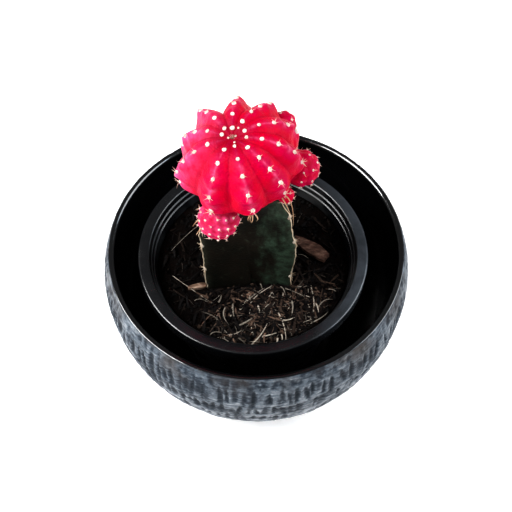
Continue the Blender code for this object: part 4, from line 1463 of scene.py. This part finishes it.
def addCrown(pads, fluff, pad, hair, rng):
    # small new areoles and the dark woolly growing point in their middle
    out = scionTurn @ worldUp
    for azimuth, polar in crownAreoles:
        seat = scionPoint(polar, azimuth)
        addPad(pads, pad, rng, seat, out, scion["padRadius"] * 0.55, rng.uniform(0.1, 0.5))
    middle = scionPoint(0, 0)
    for _ in range(scion["crownHairs"]):
        side = spoke(1, rng.uniform(0, tau))
        seat = middle + side * rng.uniform(0, 0.0007)
        aim = (out + 0.9 * side).normalized()
        length = rng.uniform(0.0005, 0.0010)
        addSpine(fluff, hair, rng, seat, aim, length, scion["crownHairRadius"], rng.uniform(0.2, 1.0))


def makeAreoles():
    rng = random.Random(scion["seed"])
    pads, fluff, spines = newBunch(), newBunch(), newBunch()
    pad = padTemplate()
    hair = rodTemplate(3, 2, 0.2)
    thorn = rodTemplate(5, 4, 0.1)
    addCrown(pads, fluff, pad, hair, rng)
    for seat, out, along, size, down, onOffset in areolePlaces():
        side = out.cross(along)
        browning = rng.uniform(0.0, 0.25) + (0.25 if rng.random() < 0.2 else 0.0)
        addPad(pads, pad, rng, seat, out, size * rng.uniform(0.85, 1.12), browning)
        for _ in range(scion["areoleHairs"]):
            turn = rng.uniform(0, tau)
            aim = (out * rng.uniform(0.3, 1.0) + along * cos(turn) + side * sin(turn)).normalized()
            length = size * rng.uniform(0.35, 0.75)
            addSpine(fluff, hair, rng, seat + aim * size * 0.45, aim, length, scion["hairRadius"], browning)
        if onOffset:
            count, length = rng.choice((1, 2, 3)), rng.uniform(0.0008, 0.0015)
        elif down < 0.33:
            count, length = rng.choice((0, 1, 2)), 0.0009
        else:
            count, length = rng.choice((3, 4, 4, 5)), 0.0012 + 0.0011 * min(1.0, down)
        for number in range(count):
            turn = tau * (number + rng.uniform(0.1, 0.9)) / count
            aim = (out * rng.uniform(0.3, 0.8) + along * (cos(turn) + 0.2) + side * sin(turn)).normalized()
            if outsideStem(seat + aim * length, 0.0003):
                addSpine(spines, thorn, rng, seat + out * size * 0.3, aim, length * rng.uniform(0.75, 1.25),
                         scion["spineRadius"] * rng.uniform(0.8, 1.2), rng.uniform(0.0, 0.55))
    hairLook = hornMaterial("woolHair", scion["wool"], scion["woolShade"])
    spineLook = hornMaterial("paleSpine", scion["spineColour"], scion["spineShade"])
    finishPiece(pads, "areoleWool", "scion", woolMaterial())
    finishPiece(fluff, "woolHairs", "scion", hairLook)
    finishPiece(spines, "scionSpines", "scion", spineLook)


def woolMaterial():
    material, shader, coords = newMaterial("areoleWool")
    colour, mask = placeMottle(coords, scion["wool"], shade(scion["wool"], 0.8), 900, 4200)
    brown = addMath("MAXIMUM", times(addAttribute(coords, "tone"), 0.7),
                    times(addAttribute(coords, "heart"), 0.75))
    feed(shader, {"Sheen Weight": 0.4})
    setLook(shader, coords, addMix(brown, colour, scion["woolShade"]), addRange(mask, 0, 1, 0.8, 0.95), 0.5,
            (5200, 2100, 0.8, 0.0001, 0.8))
    return material


# long tan spines of the lowest areoles: host, start (polar angle and azimuth on the globe, a direction on
# the offset), bend from the start, and end from the start or, against the stem, its height and distance out
longSpines = (
    ("stem", (108, -46), (0.0016, -0.0026, -0.0020), (0.1105, 0.0012)),
    ("stem", (108, -44), (0.0024, -0.0022, -0.0016), (0.1062, 0.0009)),
    ("globe", (98, -78), (-0.0011, -0.0012, -0.0009), (-0.0003, -0.0010, -0.0027)),
    ("globe", (98, -78), (-0.0003, -0.0016, -0.0010), (-0.0009, -0.0011, -0.0029)),
    ("globe", (97, -79), (-0.0013, -0.0010, -0.0002), (-0.0013, -0.0012, -0.0017)),
    ("globe", (97, -77), (0.0011, -0.0011, -0.0003), (0.0004, -0.0013, -0.0018)),
    ("offset", (-1.0, -0.1, 0.25), (-0.0014, -0.0012, -0.0010), (-0.0026, -0.0020, -0.0028)),
    ("offset", (-0.9, -0.4, -0.1), (-0.0010, -0.0014, -0.0012), (-0.0018, -0.0020, -0.0026)),
)


def makeLongSpines():
    rng = random.Random(scion["seed"] + 2)
    bm = newBunch()
    thorn = rodTemplate(7, 10, 0.2)
    centre, radius, _, _ = offsets["offsetFrontLeft"]
    for host, place, bend, end in longSpines:
        if host == "offset":
            middle = Vector(centre)
            leave = middle + Vector(place).normalized() * radius * 0.92
        else:
            leave, middle = scionPoint(*place), scionCentre
        root = leave + (middle - leave).normalized() * scion["longSpineRoot"]
        tip = stemRibPlace(0, *end) if host == "stem" else leave + Vector(end)
        path = curvePath(root, leave + Vector(bend), tip, 11)
        addBentRod(bm, thorn, path, scion["longSpineRadius"], rng.uniform(0.1, 0.6))
    finishPiece(bm, "longSpines", "scion", hornMaterial("tanSpine", scion["tanColour"], scion["tanShade"]))


makeScionBody()
for name in offsets:
    makeOffset(name)
makeAreoles()
makeLongSpines()
print("scion done")


# Floor: plain and pale

def makeFloor():
    bm = bmesh.new()
    bmesh.ops.create_grid(bm, x_segments=1, y_segments=1, size=3)
    mesh = meshFrom(bm, "floor")
    material, shader, _ = newMaterial("paleFloor")
    feed(shader, {"Base Color": studio["floorColour"], "Roughness": 0.9,
                  "Emission Color": studio["floorColour"], "Emission Strength": studio["floorGlow"]})
    mesh.materials.append(material)
    addObject("floor", mesh)


makeFloor()
